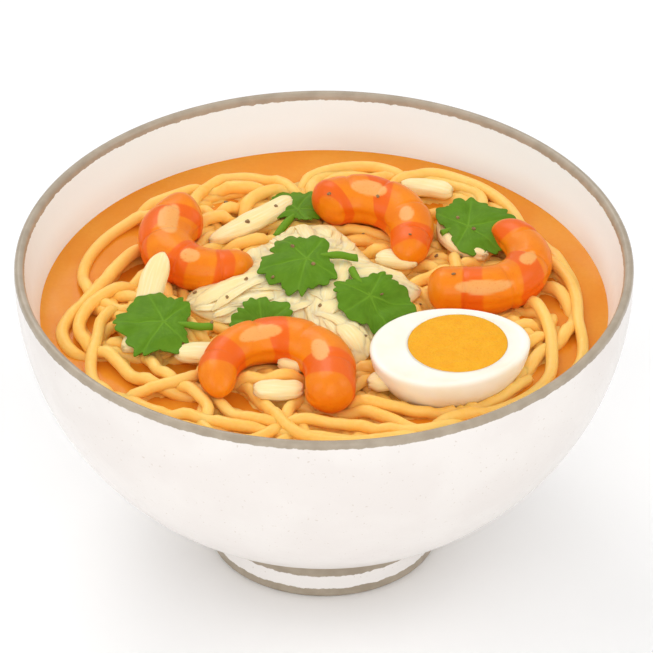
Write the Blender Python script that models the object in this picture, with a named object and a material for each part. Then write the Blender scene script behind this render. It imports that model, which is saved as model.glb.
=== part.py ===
"""A bowl of laksa: noodles in curry broth, with prawns, half an egg, shredded chicken and coriander.

The origin is the middle of the foot, on the table. +Z is up and -Y is the side that the eater sits at.
Everything is worked out from the driving sizes below, in metres.
"""

import math

import bmesh
import bpy
from mathutils import Vector

# The bowl: half an ellipsoid that stands on a straight foot ring
BOWL_RADIUS = 0.100
BOWL_HEIGHT = 0.1062
BOWL_DEPTH = 0.0973  # from the rim to where the outer curve would close
WALL = 0.0062
LIP = 0.0030  # the wall thins to this at the rim
LIP_TAPER = 0.016  # height over which it does so
FOOT_RADIUS = 0.0372
FOOT_WALL = 0.0058
FOOT_RECESS = 0.0065
FOOT_EDGE = 0.0006  # chamfer of the foot's edges
FLOOR = 0.0075  # thickness of the bowl's floor
TURN_STEPS = 40

# What fills it
SOUP_LEVEL = BOWL_HEIGHT - 0.0190
GAP = 0.0003  # kept between any two pieces
SINK = 0.0028  # how far a topping settles into what carries it

# The noodles: a wide nest that rises out of the broth
NEST_RADIUS = 0.0855
NEST_EDGE = SOUP_LEVEL - 0.0018
NEST_SHOULDER = 0.0042
NEST_CROWN = 0.0030
NEST_DEPTH = 0.030
SWIRL_HEIGHT = 0.0012
SWIRL_PITCH = 0.0150
SWIRL_ARMS = 3

# The heap of chicken in the middle. Its tongues spread over the noodles: heading and width in
# degrees, and how far each reaches past the heap's own radius
HEAP_CENTRE = Vector((-0.003, 0.004))
HEAP_RADIUS = 0.0255
HEAP_HEIGHT = 0.0085
HEAP_LUMP = 0.0008
HEAP_TONGUES = [(92, 28, 0.0150), (0, 17, 0.0108), (291, 15, 0.0185), (188, 29, 0.0185), (132, 12, 0.0050)]

# Prawns: centre of the curl, its radius, the angles of its arc from head to tail (degrees),
# the straight stretches before and after the arc, the depth of the body at the head, how much
# the body swells half way, and the rise of its plane along X and Y
PRAWN_SIDES = 10
PRAWN_RINGS = 13
PRAWN_SEGMENTS = 5
PRAWNS = [
    dict(
        centre=(-0.0354, 0.0267), curl=0.0154, arc=(116, 296), legs=(0.0020, 0.0060),
        depth=0.0182, swell=0.16, rise=(0.00, 0.02),
    ),
    dict(
        centre=(0.0108, 0.0318), curl=0.0170, arc=(132, -6), legs=(0.0008, 0.0130),
        depth=0.0166, swell=0.24, rise=(-0.02, 0.04),
    ),
    dict(
        centre=(0.0500, 0.0186), curl=0.0158, arc=(-92, 72), legs=(0.0162, 0.0005),
        depth=0.0158, swell=0.28, rise=(-0.02, 0.06),
    ),
    dict(
        centre=(-0.0160, -0.0470), curl=0.0175, arc=(-2, 182), legs=(0.0150, 0.0100),
        depth=0.0164, swell=0.24, rise=(0.00, 0.03),
    ),
]

# The half egg, lying along X with its cut face up
EGG_CENTRE = Vector((0.0405, -0.0378, 0.1008))
EGG_LENGTH = 0.0520
EGG_WIDTH = 0.0425
EGG_HEADING = 13  # degrees
EGG_BLUNT = -0.10  # below 0 the blunt end is at -X
YOLK_RADIUS = 0.0162
YOLK_OFFSET = Vector((0.0024, 0.0010))
YOLK_SINK = 0.0018  # the ball's centre lies this far under the cut face

# Strips of chicken that lie apart from the heap: from one end to the other, sideways bow, width,
# and the share of the width left at each end. One leans on a prawn, with its first end lifted
STRIP_THICKNESS = 0.0048
STRIP_SIDES = 6
STRIP_RINGS = 6
STRIPS = [
    dict(ends=((-0.0370, 0.0318), (-0.0110, 0.0560)), bow=-0.0012, width=0.0086, taper=(0.25, 0.75)),
    dict(ends=((0.0255, 0.0655), (0.0415, 0.0625)), bow=0.0004, width=0.0072, taper=(0.75, 0.90)),
    dict(ends=((0.0172, 0.0212), (0.0298, 0.0192)), bow=0.0005, width=0.0084, taper=(0.70, 0.55)),
    dict(ends=((-0.0222, -0.0508), (-0.0070, -0.0512)), bow=-0.0004, width=0.0086, taper=(0.75, 0.80)),
    dict(ends=((-0.0475, -0.0305), (-0.0320, -0.0315)), bow=0.0003, width=0.0090, taper=(0.55, 0.85)),
    dict(
        ends=((-0.0520, 0.0076), (-0.0575, -0.0085)), bow=-0.0008, width=0.0088, taper=(0.45, 0.90),
        lean=0.0115,
    ),
    dict(ends=((0.0395, 0.0455), (0.0520, 0.0235)), bow=-0.0044, width=0.0078, taper=(0.60, 0.70)),
    dict(ends=((-0.0645, -0.0265), (-0.0500, -0.0190)), bow=0.0010, width=0.0075, taper=(0.70, 0.80)),
    dict(ends=((0.0145, -0.0478), (0.0255, -0.0450)), bow=0.0000, width=0.0086, taper=(0.75, 0.80)),
    dict(ends=((-0.0144, -0.0370), (-0.0066, -0.0396)), bow=0.0000, width=0.0052, taper=(0.70, 0.80)),
]

# Coriander leaves: place of the hub in plan, heading of the middle lobe (degrees), radius,
# stem length, how far the hub lies above what carries the leaf, and the tilt towards the eater.
# The last one lies under a strip, the others over what they cross
LEAF_THICKNESS = 0.0010
LEAF_DOME = 0.0010
LEAF_DRAPE = 0.8  # share of the slope under it that a leaf follows
LEAF_LOBES = 5.5
LEAF_POINTS = 30
STEM_WIDTH = 0.0034
LEAVES = [
    dict(hub=(-0.0056, 0.0055), heading=192, radius=0.0163, stem=0.0100, lift=0.0034, tilt=8),
    dict(hub=(-0.0516, -0.0196), heading=176, radius=0.0166, stem=0.0090, lift=0.0058, tilt=9),
    dict(hub=(0.0148, -0.0076), heading=-64, radius=0.0153, stem=0.0055, lift=0.0030, tilt=5),
    dict(hub=(0.0468, 0.0358), heading=20, radius=0.0168, stem=0.0020, lift=0.0050, tilt=7),
    dict(hub=(-0.0200, -0.0190), heading=96, radius=0.0116, stem=0.0030, lift=0.0030, tilt=2),
    dict(hub=(-0.0088, 0.0495), heading=66, radius=0.0125, stem=0.0095, lift=0.0020, tilt=3),
]

COLOURS = {
    "glaze": (0xF8, 0xF2, 0xEE),
    "broth": (0xEA, 0x96, 0x3F),
    "noodle": (0xF8, 0xBB, 0x5C),
    "chicken": (0xFD, 0xE3, 0xAA),
    "prawn": (0xF0, 0x79, 0x1A),
    "egg_white": (0xFE, 0xF6, 0xE5),
    "yolk": (0xF8, 0xB9, 0x35),
    "coriander": (0x67, 0x90, 0x2C),
}
GLOSS = {"glaze": 0.15, "broth": 0.12, "noodle": 0.25, "prawn": 0.25, "egg_white": 0.30}
MATT = 0.5


def clear_scene():
    for old in list(bpy.data.objects):
        bpy.data.objects.remove(old)


def material(name):
    """A Principled material in one of the object's colours, given as screen values."""
    made = bpy.data.materials.get(name)
    if made:
        return made
    made = bpy.data.materials.new(name)
    made.use_nodes = True
    shader = made.node_tree.nodes["Principled BSDF"]
    linear = [((c / 255 + 0.055) / 1.055) ** 2.4 for c in COLOURS[name]]
    shader.inputs["Base Color"].default_value = (*linear, 1)
    shader.inputs["Roughness"].default_value = GLOSS.get(name, MATT)
    return made


def solid(name, points, faces, colour, place):
    """A named object at its place, from a closed mesh of points in the dish's own frame. Its faces are
    turned outwards and its round parts are smooth."""
    mesh = bpy.data.meshes.new(name)
    mesh.from_pydata([tuple(p - place) for p in points], [], faces)
    work = bmesh.new()
    work.from_mesh(mesh)
    bmesh.ops.recalc_face_normals(work, faces=work.faces)
    work.to_mesh(mesh)
    work.free()
    mesh.shade_smooth()
    mesh.set_sharp_from_angle(angle=math.radians(40))
    mesh.materials.append(material(colour))
    made = bpy.data.objects.new(name, mesh)
    made.location = place
    bpy.context.scene.collection.objects.link(made)
    return made


def rings_to_faces(start, rings, steps):
    """Quads between successive closed rings of points."""
    faces = []
    for ring in range(rings - 1):
        for step in range(steps):
            a = start + ring * steps + step
            b = start + ring * steps + (step + 1) % steps
            faces.append((a, b, b + steps, a + steps))
    return faces


def loft(name, rings, tips, colour, place=Vector((0, 0, 0))):
    """A closed solid through rings of points, ended by a tip at each side."""
    steps = len(rings[0])
    points = [tips[0], *[p for ring in rings for p in ring], tips[1]]
    faces = rings_to_faces(1, len(rings), steps)
    last = 1 + (len(rings) - 1) * steps
    for step in range(steps):
        after = (step + 1) % steps
        faces.append((0, 1 + after, 1 + step))
        faces.append((len(points) - 1, last + step, last + after))
    return solid(name, points, faces, colour, place)


def turned(name, outline, colour):
    """A solid of revolution. The outline is a list of (radius, height) that starts and ends on the axis."""
    turns = [2 * math.pi * step / TURN_STEPS for step in range(TURN_STEPS)]
    rings = [[Vector((r * math.cos(a), r * math.sin(a), z)) for a in turns] for r, z in outline[1:-1]]
    tips = [Vector((0, 0, height)) for _, height in (outline[0], outline[-1])]
    return loft(name, rings, tips, colour)


def blend(low, high, share):
    return low + (high - low) * share


def smooth_step(share):
    share = min(1.0, max(0.0, share))
    return share * share * (3 - 2 * share)


# The bowl and its broth


def outer_radius(height):
    return BOWL_RADIUS * math.sqrt(1 - ((BOWL_HEIGHT - height) / BOWL_DEPTH) ** 2)


def wall_at(height):
    return blend(LIP, WALL, smooth_step((BOWL_HEIGHT - height) / LIP_TAPER))


def inner_outline(top, steps):
    """The inside of the bowl from the middle of its floor up to a given height."""
    floor = foot_joint() + FLOOR
    outline = [(0.0, floor)]
    for step in range(1, steps + 1):
        # Heights crowd towards the floor, where the curve is flattest
        height = blend(floor, top, (step / steps) ** 2)
        corner = smooth_step(step / (0.35 * steps))
        outline.append(((outer_radius(height) - wall_at(height)) * blend(0.93, 1.0, corner), height))
    return outline


def foot_joint():
    """Height at which the bowl's curve is as narrow as its foot."""
    return BOWL_HEIGHT - BOWL_DEPTH * math.sqrt(1 - (FOOT_RADIUS / BOWL_RADIUS) ** 2)


def make_bowl():
    joint = foot_joint()
    hollow = FOOT_RADIUS - FOOT_WALL
    under = [
        (0.0, FOOT_RECESS),
        (hollow - 3 * FOOT_EDGE, FOOT_RECESS),
        (hollow, FOOT_RECESS - 3 * FOOT_EDGE),
        (hollow, FOOT_EDGE),
        (hollow + FOOT_EDGE, 0.0),
        (FOOT_RADIUS - FOOT_EDGE, 0.0),
        (FOOT_RADIUS, FOOT_EDGE),
    ]
    steps = 9
    lowest = math.acos(FOOT_RADIUS / BOWL_RADIUS)
    outside = []
    for step in range(steps):
        angle = blend(lowest, 0, step / (steps - 1))
        outside.append((BOWL_RADIUS * math.cos(angle), BOWL_HEIGHT - LIP / 2 - BOWL_DEPTH * math.sin(angle)))
    outside[0] = (FOOT_RADIUS, joint)
    lip_middle = BOWL_RADIUS - LIP / 2
    lip = [
        (lip_middle + LIP / 2 * math.cos(angle), BOWL_HEIGHT - LIP / 2 + LIP / 2 * math.sin(angle))
        for angle in (math.radians(d) for d in (45, 90, 135))
    ]
    inside = inner_outline(BOWL_HEIGHT - LIP / 2, 7)
    return turned("bowl", under + outside + lip + inside[::-1], "glaze")


def make_broth():
    """The broth fills the bowl's inside up to its level, a gap clear of the wall."""
    wall = [(max(0.0, r - 1.4 * GAP), z + GAP) for r, z in inner_outline(SOUP_LEVEL - GAP, 6)]
    return turned("broth", [*wall, (0.0, SOUP_LEVEL)], "broth")


# Heaps: closed mounds with an uneven outline


def mound(name, centre, reach, top, bottom, counts, colour):
    """A closed mound round a centre. reach(angle) is its outline, top and bottom give heights at a
    share of the way out and a point in plan, and counts is (rings on top, rings below, steps round)."""
    upper, lower, steps = counts
    angles = [2 * math.pi * step / steps for step in range(steps)]

    def ring(share, height):
        points = []
        for angle in angles:
            place = centre + Vector((math.cos(angle), math.sin(angle))) * reach(angle) * share
            points.append(Vector((*place, height(share, place))))
        return points

    rings = [ring(number / upper, top) for number in range(1, upper + 1)]
    rings += [ring(number / lower, bottom) for number in range(lower - 1, 0, -1)]
    tips = [Vector((*centre, height(0, centre))) for height in (top, bottom)]
    return loft(name, rings, tips, colour, place=Vector((*centre, bottom(0, centre))))


def bump(angle, heading, width):
    """1 at a heading and falling smoothly to either side of it, with both in degrees."""
    off = (math.degrees(angle) - heading + 180) % 360 - 180
    return math.exp(-((off / width) ** 2))


def nest_reach(angle):
    """Outline of the noodles: lazy lobes, pulled in at the back, where the broth shows."""
    lobes = 0.0010 * math.cos(5 * angle + 0.6) + 0.0007 * math.cos(8 * angle - 1.0)
    return NEST_RADIUS + lobes - 0.0035 * bump(angle, 110, 45) - 0.0045 * bump(angle, 97, 9)


def nest_share(place):
    return place.length / nest_reach(math.atan2(place.y, place.x) % (2 * math.pi))


def nest_surface(place):
    """Height of the noodles' smooth surface at a point in plan."""
    share = min(1.0, nest_share(place))
    return NEST_EDGE + NEST_SHOULDER * (1 - share**14) + NEST_CROWN * (1 - share**2)


def nest_top(share, place):
    """The surface with the ridges of its swirled strands."""
    turn = math.atan2(place.y, place.x) * SWIRL_ARMS / (2 * math.pi)
    wander = 0.35 * math.sin(place.x * 95) + 0.35 * math.sin(place.y * 80)
    ridge = 0.5 + 0.5 * math.cos(2 * math.pi * (place.length / SWIRL_PITCH + turn + wander))
    return nest_surface(place) + SWIRL_HEIGHT * ridge * (1 - share**8) * smooth_step(4 * share)


def nest_bottom(share, place):
    return NEST_EDGE - NEST_DEPTH * math.sqrt(max(0.0, 1 - share**2))


def make_noodles():
    return mound("noodles", Vector((0, 0)), nest_reach, nest_top, nest_bottom, (9, 3, 32), "noodle")


def heap_reach(angle):
    return HEAP_RADIUS + sum(reach * bump(angle, heading, width) for heading, width, reach in HEAP_TONGUES)


def heap_surface(place):
    """Height of the chicken heap at a point in plan, or of the noodles outside it."""
    out = place - HEAP_CENTRE
    share = min(1.0, out.length / heap_reach(math.atan2(out.y, out.x)))
    return nest_surface(place) + HEAP_HEIGHT * (1 - share**2) ** 0.8


def heap_top(share, place):
    lumps = math.sin(place.x * 420 + place.y * 160) * math.sin(place.y * 380 - place.x * 120)
    return heap_surface(place) + HEAP_LUMP * lumps * (1 - share**4)


def heap_bottom(share, place):
    return nest_surface(place) - blend(SINK, 0.3 * SINK, share**2)


def make_chicken_heap():
    return mound("chicken_heap", HEAP_CENTRE, heap_reach, heap_top, heap_bottom, (5, 1, 30), "chicken")


# Prawns


def prawn_path(prawn, share):
    """Point in plan and unit direction at a share of the way from head to tail."""
    start, end = (math.radians(a) for a in prawn["arc"])
    turn = 1 if end > start else -1
    radius = prawn["curl"]
    bend = radius * abs(end - start)
    head_leg, tail_leg = prawn["legs"]
    run = share * (head_leg + bend + tail_leg)
    if run < head_leg:
        angle, past = start, run - head_leg
    elif run < head_leg + bend:
        angle, past = start + turn * (run - head_leg) / radius, 0.0
    else:
        angle, past = end, run - head_leg - bend
    ahead = Vector((-math.sin(angle), math.cos(angle))) * turn
    outward = Vector((math.cos(angle), math.sin(angle)))
    return Vector(prawn["centre"]) + outward * radius + ahead * past, ahead, outward


def prawn_girth(share, swell):
    """Size of the body against the head's: swollen half way, slim at the tail, a step at each segment."""
    body = blend(1.0, 0.68, share) * (1 + swell * math.sin(math.pi * share))
    within = (share * PRAWN_SEGMENTS) % 1
    step = 1 + 0.045 * (1 - within)
    head_end = math.sqrt(1 - max(0.0, 1 - share / 0.10) ** 2.2)
    tail_end = math.sqrt(1 - max(0.0, 1 - (1 - share) / 0.13) ** 2)
    return body * step * head_end * tail_end


def prawn_section(angle):
    """Outline across the body: round along the back and narrower at the belly, which has a groove."""
    back = math.cos(angle)
    height = back if back > 0 else back * (0.92 - 0.10 * math.exp(-((math.sin(angle) / 0.25) ** 2)))
    return height, math.sin(angle) * (1 + 0.10 * back)


def make_prawn(name, prawn):
    half_depth = prawn["depth"] / 2
    half_width = 0.42 * prawn["depth"]
    rise = Vector(prawn["rise"])
    centre = Vector(prawn["centre"])
    lowest = nest_surface(centre) + half_width - SINK
    rings = []
    for number in range(PRAWN_RINGS):
        share = blend(0.012, 0.985, number / (PRAWN_RINGS - 1))
        place, ahead, outward = prawn_path(prawn, share)
        level = lowest + rise.dot(place - centre)
        girth = prawn_girth(share, prawn["swell"])
        ring = []
        for side in range(PRAWN_SIDES):
            height, across = prawn_section(2 * math.pi * side / PRAWN_SIDES)
            spot = place + outward * half_depth * girth * height
            ring.append(Vector((*spot, level + half_width * girth * across)))
        rings.append(ring)
    tips = [sum(ring, Vector()) / PRAWN_SIDES for ring in (rings[0], rings[-1])]
    return loft(name, rings, tips, "prawn", place=Vector((*centre, lowest)))


# The egg


def egg_rings(length, width, blunt):
    """Half an egg, flat face up: rings of points from its narrow end to its blunt end, along X."""
    rings_along, steps = 12, 10
    rings = []
    for number in range(1, rings_along):
        angle = math.pi * number / rings_along
        along = -length / 2 * math.cos(angle)
        radius = width / 2 * math.sin(angle) * (1 + blunt * math.cos(angle) * -1)
        below = [
            Vector((along, radius * math.cos(a), -radius * math.sin(a)))
            for a in (math.pi * step / steps for step in range(steps + 1))
        ]
        rings.append(below)
    return rings


def place_egg_point(point):
    heading = math.radians(EGG_HEADING)
    return EGG_CENTRE + Vector(
        (
            point.x * math.cos(heading) - point.y * math.sin(heading),
            point.x * math.sin(heading) + point.y * math.cos(heading),
            point.z,
        )
    )


def make_yolk(name, radius, colour, above=0.0):
    """The lower part of a ball, cut flat with the egg's face, or above it for a cutter."""
    steps, turns = 5, 22
    centre = EGG_CENTRE + Vector((*YOLK_OFFSET, -YOLK_SINK))
    rim = math.asin(YOLK_SINK / radius)
    rings = []
    for number in range(steps):
        angle = blend(-math.pi / 2, rim, (number + 1) / steps)
        rings.append(
            [
                centre + Vector((math.cos(t), math.sin(t), 0)) * radius * math.cos(angle)
                + Vector((0, 0, radius * math.sin(angle)))
                for t in (2 * math.pi * turn / turns for turn in range(turns))
            ]
        )
    if above:
        rings.append([p + Vector((0, 0, above)) for p in rings[-1]])
    tips = [centre - Vector((0, 0, radius)), Vector((centre.x, centre.y, rings[-1][0].z))]
    return loft(name, rings, tips, colour, place=EGG_CENTRE)


def make_egg():
    """The white has a hollow for the yolk, which is its own piece."""
    rings = [[place_egg_point(p) for p in ring] for ring in egg_rings(EGG_LENGTH, EGG_WIDTH, EGG_BLUNT)]
    ends = [place_egg_point(Vector((side * EGG_LENGTH / 2, 0, 0))) for side in (-1, 1)]
    white = loft("egg_white", rings, ends, "egg_white", place=EGG_CENTRE)
    hollow = as_cutter(make_yolk("yolk_hollow", YOLK_RADIUS + GAP, "egg_white", above=0.004))
    subtract(white, hollow)
    return white, make_yolk("egg_yolk", YOLK_RADIUS, "yolk")


# Strips of chicken


def make_strip(name, strip):
    start, end = (Vector(e) for e in strip["ends"])
    run = end - start
    side = Vector((-run.y, run.x)).normalized()
    rings = []
    for number in range(STRIP_RINGS):
        share = number / (STRIP_RINGS - 1)
        place = start + run * share + side * strip["bow"] * 4 * share * (1 - share)
        fullness = blend(strip["taper"][0], strip["taper"][1], share)
        fullness = blend(fullness, 1.0, math.sin(math.pi * share) ** 0.7)
        rounding = 0.72 if number in (0, STRIP_RINGS - 1) else 1.0
        half_width = strip["width"] / 2 * fullness * rounding
        half_height = STRIP_THICKNESS / 2 * blend(0.6, 1.0, fullness) * rounding
        level = nest_surface(place) + STRIP_THICKNESS / 2 - 0.4 * SINK + strip.get("lean", 0.0) * (1 - share)
        ring = []
        for step in range(STRIP_SIDES):
            angle = 2 * math.pi * (step + 0.5) / STRIP_SIDES
            spot = place + side * half_width * math.cos(angle)
            ring.append(Vector((*spot, level + half_height * math.sin(angle))))
        rings.append(ring)
    tips = []
    for ring, away in ((rings[0], -run), (rings[-1], run)):
        tips.append(sum(ring, Vector()) / STRIP_SIDES + Vector((*away.normalized(), 0)) * 0.0009)
    return loft(name, rings, tips, "chicken", place=Vector((*(start + end) / 2, nest_surface(start))))


# Coriander


def leaf_outline(leaf):
    """Points round the leaf and down its stem, about the hub, with the middle lobe along X."""
    points = []
    base = math.radians(158)
    for number in range(LEAF_POINTS):
        angle = blend(-base, base, number / (LEAF_POINTS - 1))
        spread = (0.5 + 0.5 * math.cos(angle)) ** 0.18
        lobe = 0.88 + 0.12 * math.cos(LEAF_LOBES * angle)
        tooth = 1 + 0.06 * math.cos(3 * LEAF_LOBES * angle)
        points.append(Vector((math.cos(angle), math.sin(angle))) * leaf["radius"] * spread * lobe * tooth)
    foot = Vector((-leaf["radius"] * 0.42, 0))
    tip = foot - Vector((leaf["stem"], 0))
    for spot, width in ((foot, STEM_WIDTH), (tip, 0.7 * STEM_WIDTH)):
        points.append(spot + Vector((0, width / 2)))
    for spot, width in ((tip, 0.7 * STEM_WIDTH), (foot, STEM_WIDTH)):
        points.append(spot - Vector((0, width / 2)))
    return points


def make_leaf(name, leaf, surface):
    """A thin domed leaf, draped over the surface that carries it and tilted towards the eater."""
    hub = Vector(leaf["hub"])
    heading = math.radians(leaf["heading"])
    level = surface(hub) + leaf["lift"]
    slope = math.tan(math.radians(leaf["tilt"]))

    def laid(point, drop):
        turned_x = point.x * math.cos(heading) - point.y * math.sin(heading)
        turned_y = point.x * math.sin(heading) + point.y * math.cos(heading)
        spot = hub + Vector((turned_x, turned_y))
        dome = LEAF_DOME * min(1.4, (point.length / leaf["radius"]) ** 2)
        drape = LEAF_DRAPE * (surface(spot) - surface(hub))
        return Vector((*spot, level + drape + slope * turned_y - dome - drop))

    outline = leaf_outline(leaf)
    rings = [[laid(p, drop) for p in outline] for drop in (0, LEAF_THICKNESS)]
    tips = [laid(Vector((0, 0)), drop) for drop in (0, LEAF_THICKNESS)]
    return loft(name, rings, tips, "coriander", place=Vector((*hub, level)))


# Cutting pieces clear of each other


def as_cutter(piece):
    piece.hide_render = True
    piece.display_type = "WIRE"
    return piece


def subtract(piece, cutter):
    cut = piece.modifiers.new("clear_of_" + cutter.name, "BOOLEAN")
    cut.operation = "DIFFERENCE"
    cut.solver = "EXACT"
    cut.object = cutter


def swollen(piece):
    """A copy of a piece, grown by the gap, that cuts its seat in whatever carries it."""
    name = piece.name + "_seat"
    if name in bpy.data.objects:
        return bpy.data.objects[name]
    mesh = piece.data.copy()
    normals = [v.normal.copy() for v in mesh.vertices]
    for vertex, normal in zip(mesh.vertices, normals):
        vertex.co += normal * 1.3 * GAP
    seat = bpy.data.objects.new(name, mesh)
    seat.location = piece.location
    bpy.context.scene.collection.objects.link(seat)
    return as_cutter(seat)


def cut_seats(carriers, toppings):
    """Every carrier is cut clear of every topping whose box it reaches."""
    for carrier in carriers:
        for topping in toppings:
            if boxes_meet(carrier, topping):
                subtract(carrier, swollen(topping))


def box_of(piece):
    corners = [piece.location + Vector(c) for c in piece.bound_box]
    low = Vector(min(c[axis] for c in corners) - 2 * GAP for axis in range(3))
    high = Vector(max(c[axis] for c in corners) + 2 * GAP for axis in range(3))
    return low, high


def boxes_meet(one, other):
    (low_a, high_a), (low_b, high_b) = box_of(one), box_of(other)
    return all(low_a[axis] <= high_b[axis] and low_b[axis] <= high_a[axis] for axis in range(3))


def main():
    clear_scene()
    make_bowl()
    broth = make_broth()
    noodles = make_noodles()
    heap = make_chicken_heap()
    prawns = [make_prawn(f"prawn_{number}", prawn) for number, prawn in enumerate(PRAWNS, 1)]
    white, _ = make_egg()
    leaves = [
        make_leaf(f"coriander_{number}", leaf, heap_surface) for number, leaf in enumerate(LEAVES, 1)
    ]
    strips = [make_strip(f"chicken_strip_{number}", strip) for number, strip in enumerate(STRIPS, 1)]

    # What lies on top keeps its shape, and what carries it is cut round it
    firm = [*prawns, white]
    *over, under = leaves
    cut_seats(over, firm)
    cut_seats(strips, [*firm, *over])
    cut_seats([under], [*firm, *strips, *over])
    cut_seats([heap], [*firm, *leaves, *strips])
    cut_seats([noodles], [*firm, *leaves, *strips, heap])
    subtract(broth, swollen(noodles))


main()
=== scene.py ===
# %% [markdown]
# # A bowl of laksa
# Laksa is a noodle soup: thick round noodles in an orange curry broth of coconut milk, with prawns,
# half a boiled egg, shredded chicken and coriander on top. Here it is served in a deep stoneware bowl
# with a painted lip. The solid model gives each piece its place and size, and this script gives each
# one its real surface. Loading that model first means that everything after it can be measured
# against it.
# %% The solid model
import math
import random

import bmesh
import bpy
import numpy as np
from mathutils import Matrix, Vector, noise
from mathutils.bvhtree import BVHTree
from mathutils.kdtree import KDTree


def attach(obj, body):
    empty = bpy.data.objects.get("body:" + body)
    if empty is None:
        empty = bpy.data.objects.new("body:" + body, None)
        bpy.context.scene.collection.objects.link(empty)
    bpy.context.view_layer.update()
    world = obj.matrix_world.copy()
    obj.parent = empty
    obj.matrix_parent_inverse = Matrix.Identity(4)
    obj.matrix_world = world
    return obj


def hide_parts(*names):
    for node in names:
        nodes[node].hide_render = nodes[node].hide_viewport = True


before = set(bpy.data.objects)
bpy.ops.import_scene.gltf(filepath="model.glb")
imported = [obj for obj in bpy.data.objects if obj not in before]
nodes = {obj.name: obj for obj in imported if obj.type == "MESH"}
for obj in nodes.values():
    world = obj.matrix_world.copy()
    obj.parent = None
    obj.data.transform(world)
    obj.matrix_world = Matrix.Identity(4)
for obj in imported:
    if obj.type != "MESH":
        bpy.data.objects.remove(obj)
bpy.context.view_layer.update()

# %% [markdown]
# ## Where the eye is
# The bowl is seen from the eater's side and from well above, so that the rim is a wide ellipse. A long
# lens from far away keeps the near and the far rim almost equally curved. The camera could be aimed
# with a constraint, but its direction follows from one angle, so it's set directly.
# %% Camera
VIEW_ELEVATION = math.radians(35.2)
CAMERA_AWAY = 5.0
FIELD_WIDTH = 0.2106  # width of what the camera sees at the bowl
LOOK_AT = Vector((0.0008, 0, 0.1062))
LOOK_BELOW = 0.0203  # the middle of the view lies this far under the middle of the rim


def shown(name, data):
    """A new object in the scene, for a mesh, a lamp or a camera."""
    made = bpy.data.objects.new(name, data)
    bpy.context.scene.collection.objects.link(made)
    return made


view_up = Vector((0, math.sin(VIEW_ELEVATION), math.cos(VIEW_ELEVATION)))
view_back = Vector((0, -math.cos(VIEW_ELEVATION), math.sin(VIEW_ELEVATION)))
lens = bpy.data.cameras.new("camera")
lens.sensor_width = 36
lens.lens = lens.sensor_width * CAMERA_AWAY / FIELD_WIDTH
lens.clip_end = 4 * CAMERA_AWAY
camera = shown("camera", lens)
camera.location = LOOK_AT - view_up * LOOK_BELOW + view_back * CAMERA_AWAY
camera.rotation_euler = (math.pi / 2 - VIEW_ELEVATION, 0, 0)
bpy.context.scene.camera = camera
print(f"camera: {lens.lens:.0f} mm lens, {CAMERA_AWAY} m away")

# %% [markdown]
# ## Light and floor
# Food looks best under one large soft light from behind, which draws glossy edges on prawns and
# noodles, with pale light from all round to keep the shadows clear. A white sky gives that even light.
# It is dimmer towards the horizon, so that the round sides of the bowl turn a little darker and stand
# out from the white table. Five softboxes add shape, and the low one in front reaches the foot and the
# far wall. The Standard view keeps the colours as they are mixed, because a filmic one would grey the
# whites of the bowl and the egg.
# %% Light
SKY_STRENGTH = 0.67
HORIZON_STRENGTH = 0.48
FULL_SKY = 0.8  # sine of the angle above which the sky has its full strength
AIM = Vector((0, 0, 0.08))
SOFTBOXES = {  # place, size and watts, all turned to the bowl
    "softbox_back": ((-0.35, 0.75, 1.00), 0.70, 4.0),
    "softbox_left": ((-1.00, -0.30, 0.85), 0.70, 2.6),
    "softbox_right": ((1.00, -0.10, 0.85), 0.70, 2.6),
    "softbox_front": ((0.10, -1.05, 1.10), 1.00, 4.0),
    "softbox_low": ((0.00, -1.30, 0.42), 0.70, 2.8),
}

scene = bpy.context.scene
scene.view_settings.view_transform = "Standard"
sky = bpy.data.worlds.new("sky")
sky.use_nodes = True
sky_nodes, sky_links = sky.node_tree.nodes, sky.node_tree.links
backdrop = sky_nodes["Background"]
backdrop.inputs["Color"].default_value = (1, 1, 1, 1)
direction = sky_nodes.new("ShaderNodeTexCoord")
height = sky_nodes.new("ShaderNodeSeparateXYZ")
brightness = sky_nodes.new("ShaderNodeMapRange")
for socket, value in (("From Max", FULL_SKY), ("To Min", HORIZON_STRENGTH), ("To Max", SKY_STRENGTH)):
    brightness.inputs[socket].default_value = value
sky_links.new(direction.outputs["Generated"], height.inputs["Vector"])
sky_links.new(height.outputs["Z"], brightness.inputs["Value"])
sky_links.new(brightness.outputs["Result"], backdrop.inputs["Strength"])
scene.world = sky
for name, (place, size, watts) in SOFTBOXES.items():
    lamp = bpy.data.lights.new(name, "AREA")
    lamp.size = size
    lamp.energy = watts
    stand = shown(name, lamp)
    stand.location = place
    stand.rotation_euler = (Vector(place) - AIM).to_track_quat("Z", "Y").to_euler()
print("lights:", ", ".join(SOFTBOXES))

# %% [markdown]
# ## Mixing finishes
# Every finish here starts as a Principled shader, gets its colours from noise in the piece's own
# coordinates, and gets its fine relief from a bump. The helpers below add a node or a few each, so that
# a finish reads as a short recipe. Colours are given as screen values and turned into the linear values
# that Blender mixes.
# %% Finishes and their colours
def screen_colour(code):
    """A colour from its six hexadecimal digits, as linear RGBA."""
    values = [int(code[i : i + 2], 16) / 255 for i in (0, 2, 4)]
    return (*[v / 12.92 if v <= 0.04045 else ((v + 0.055) / 1.055) ** 2.4 for v in values], 1)


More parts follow.
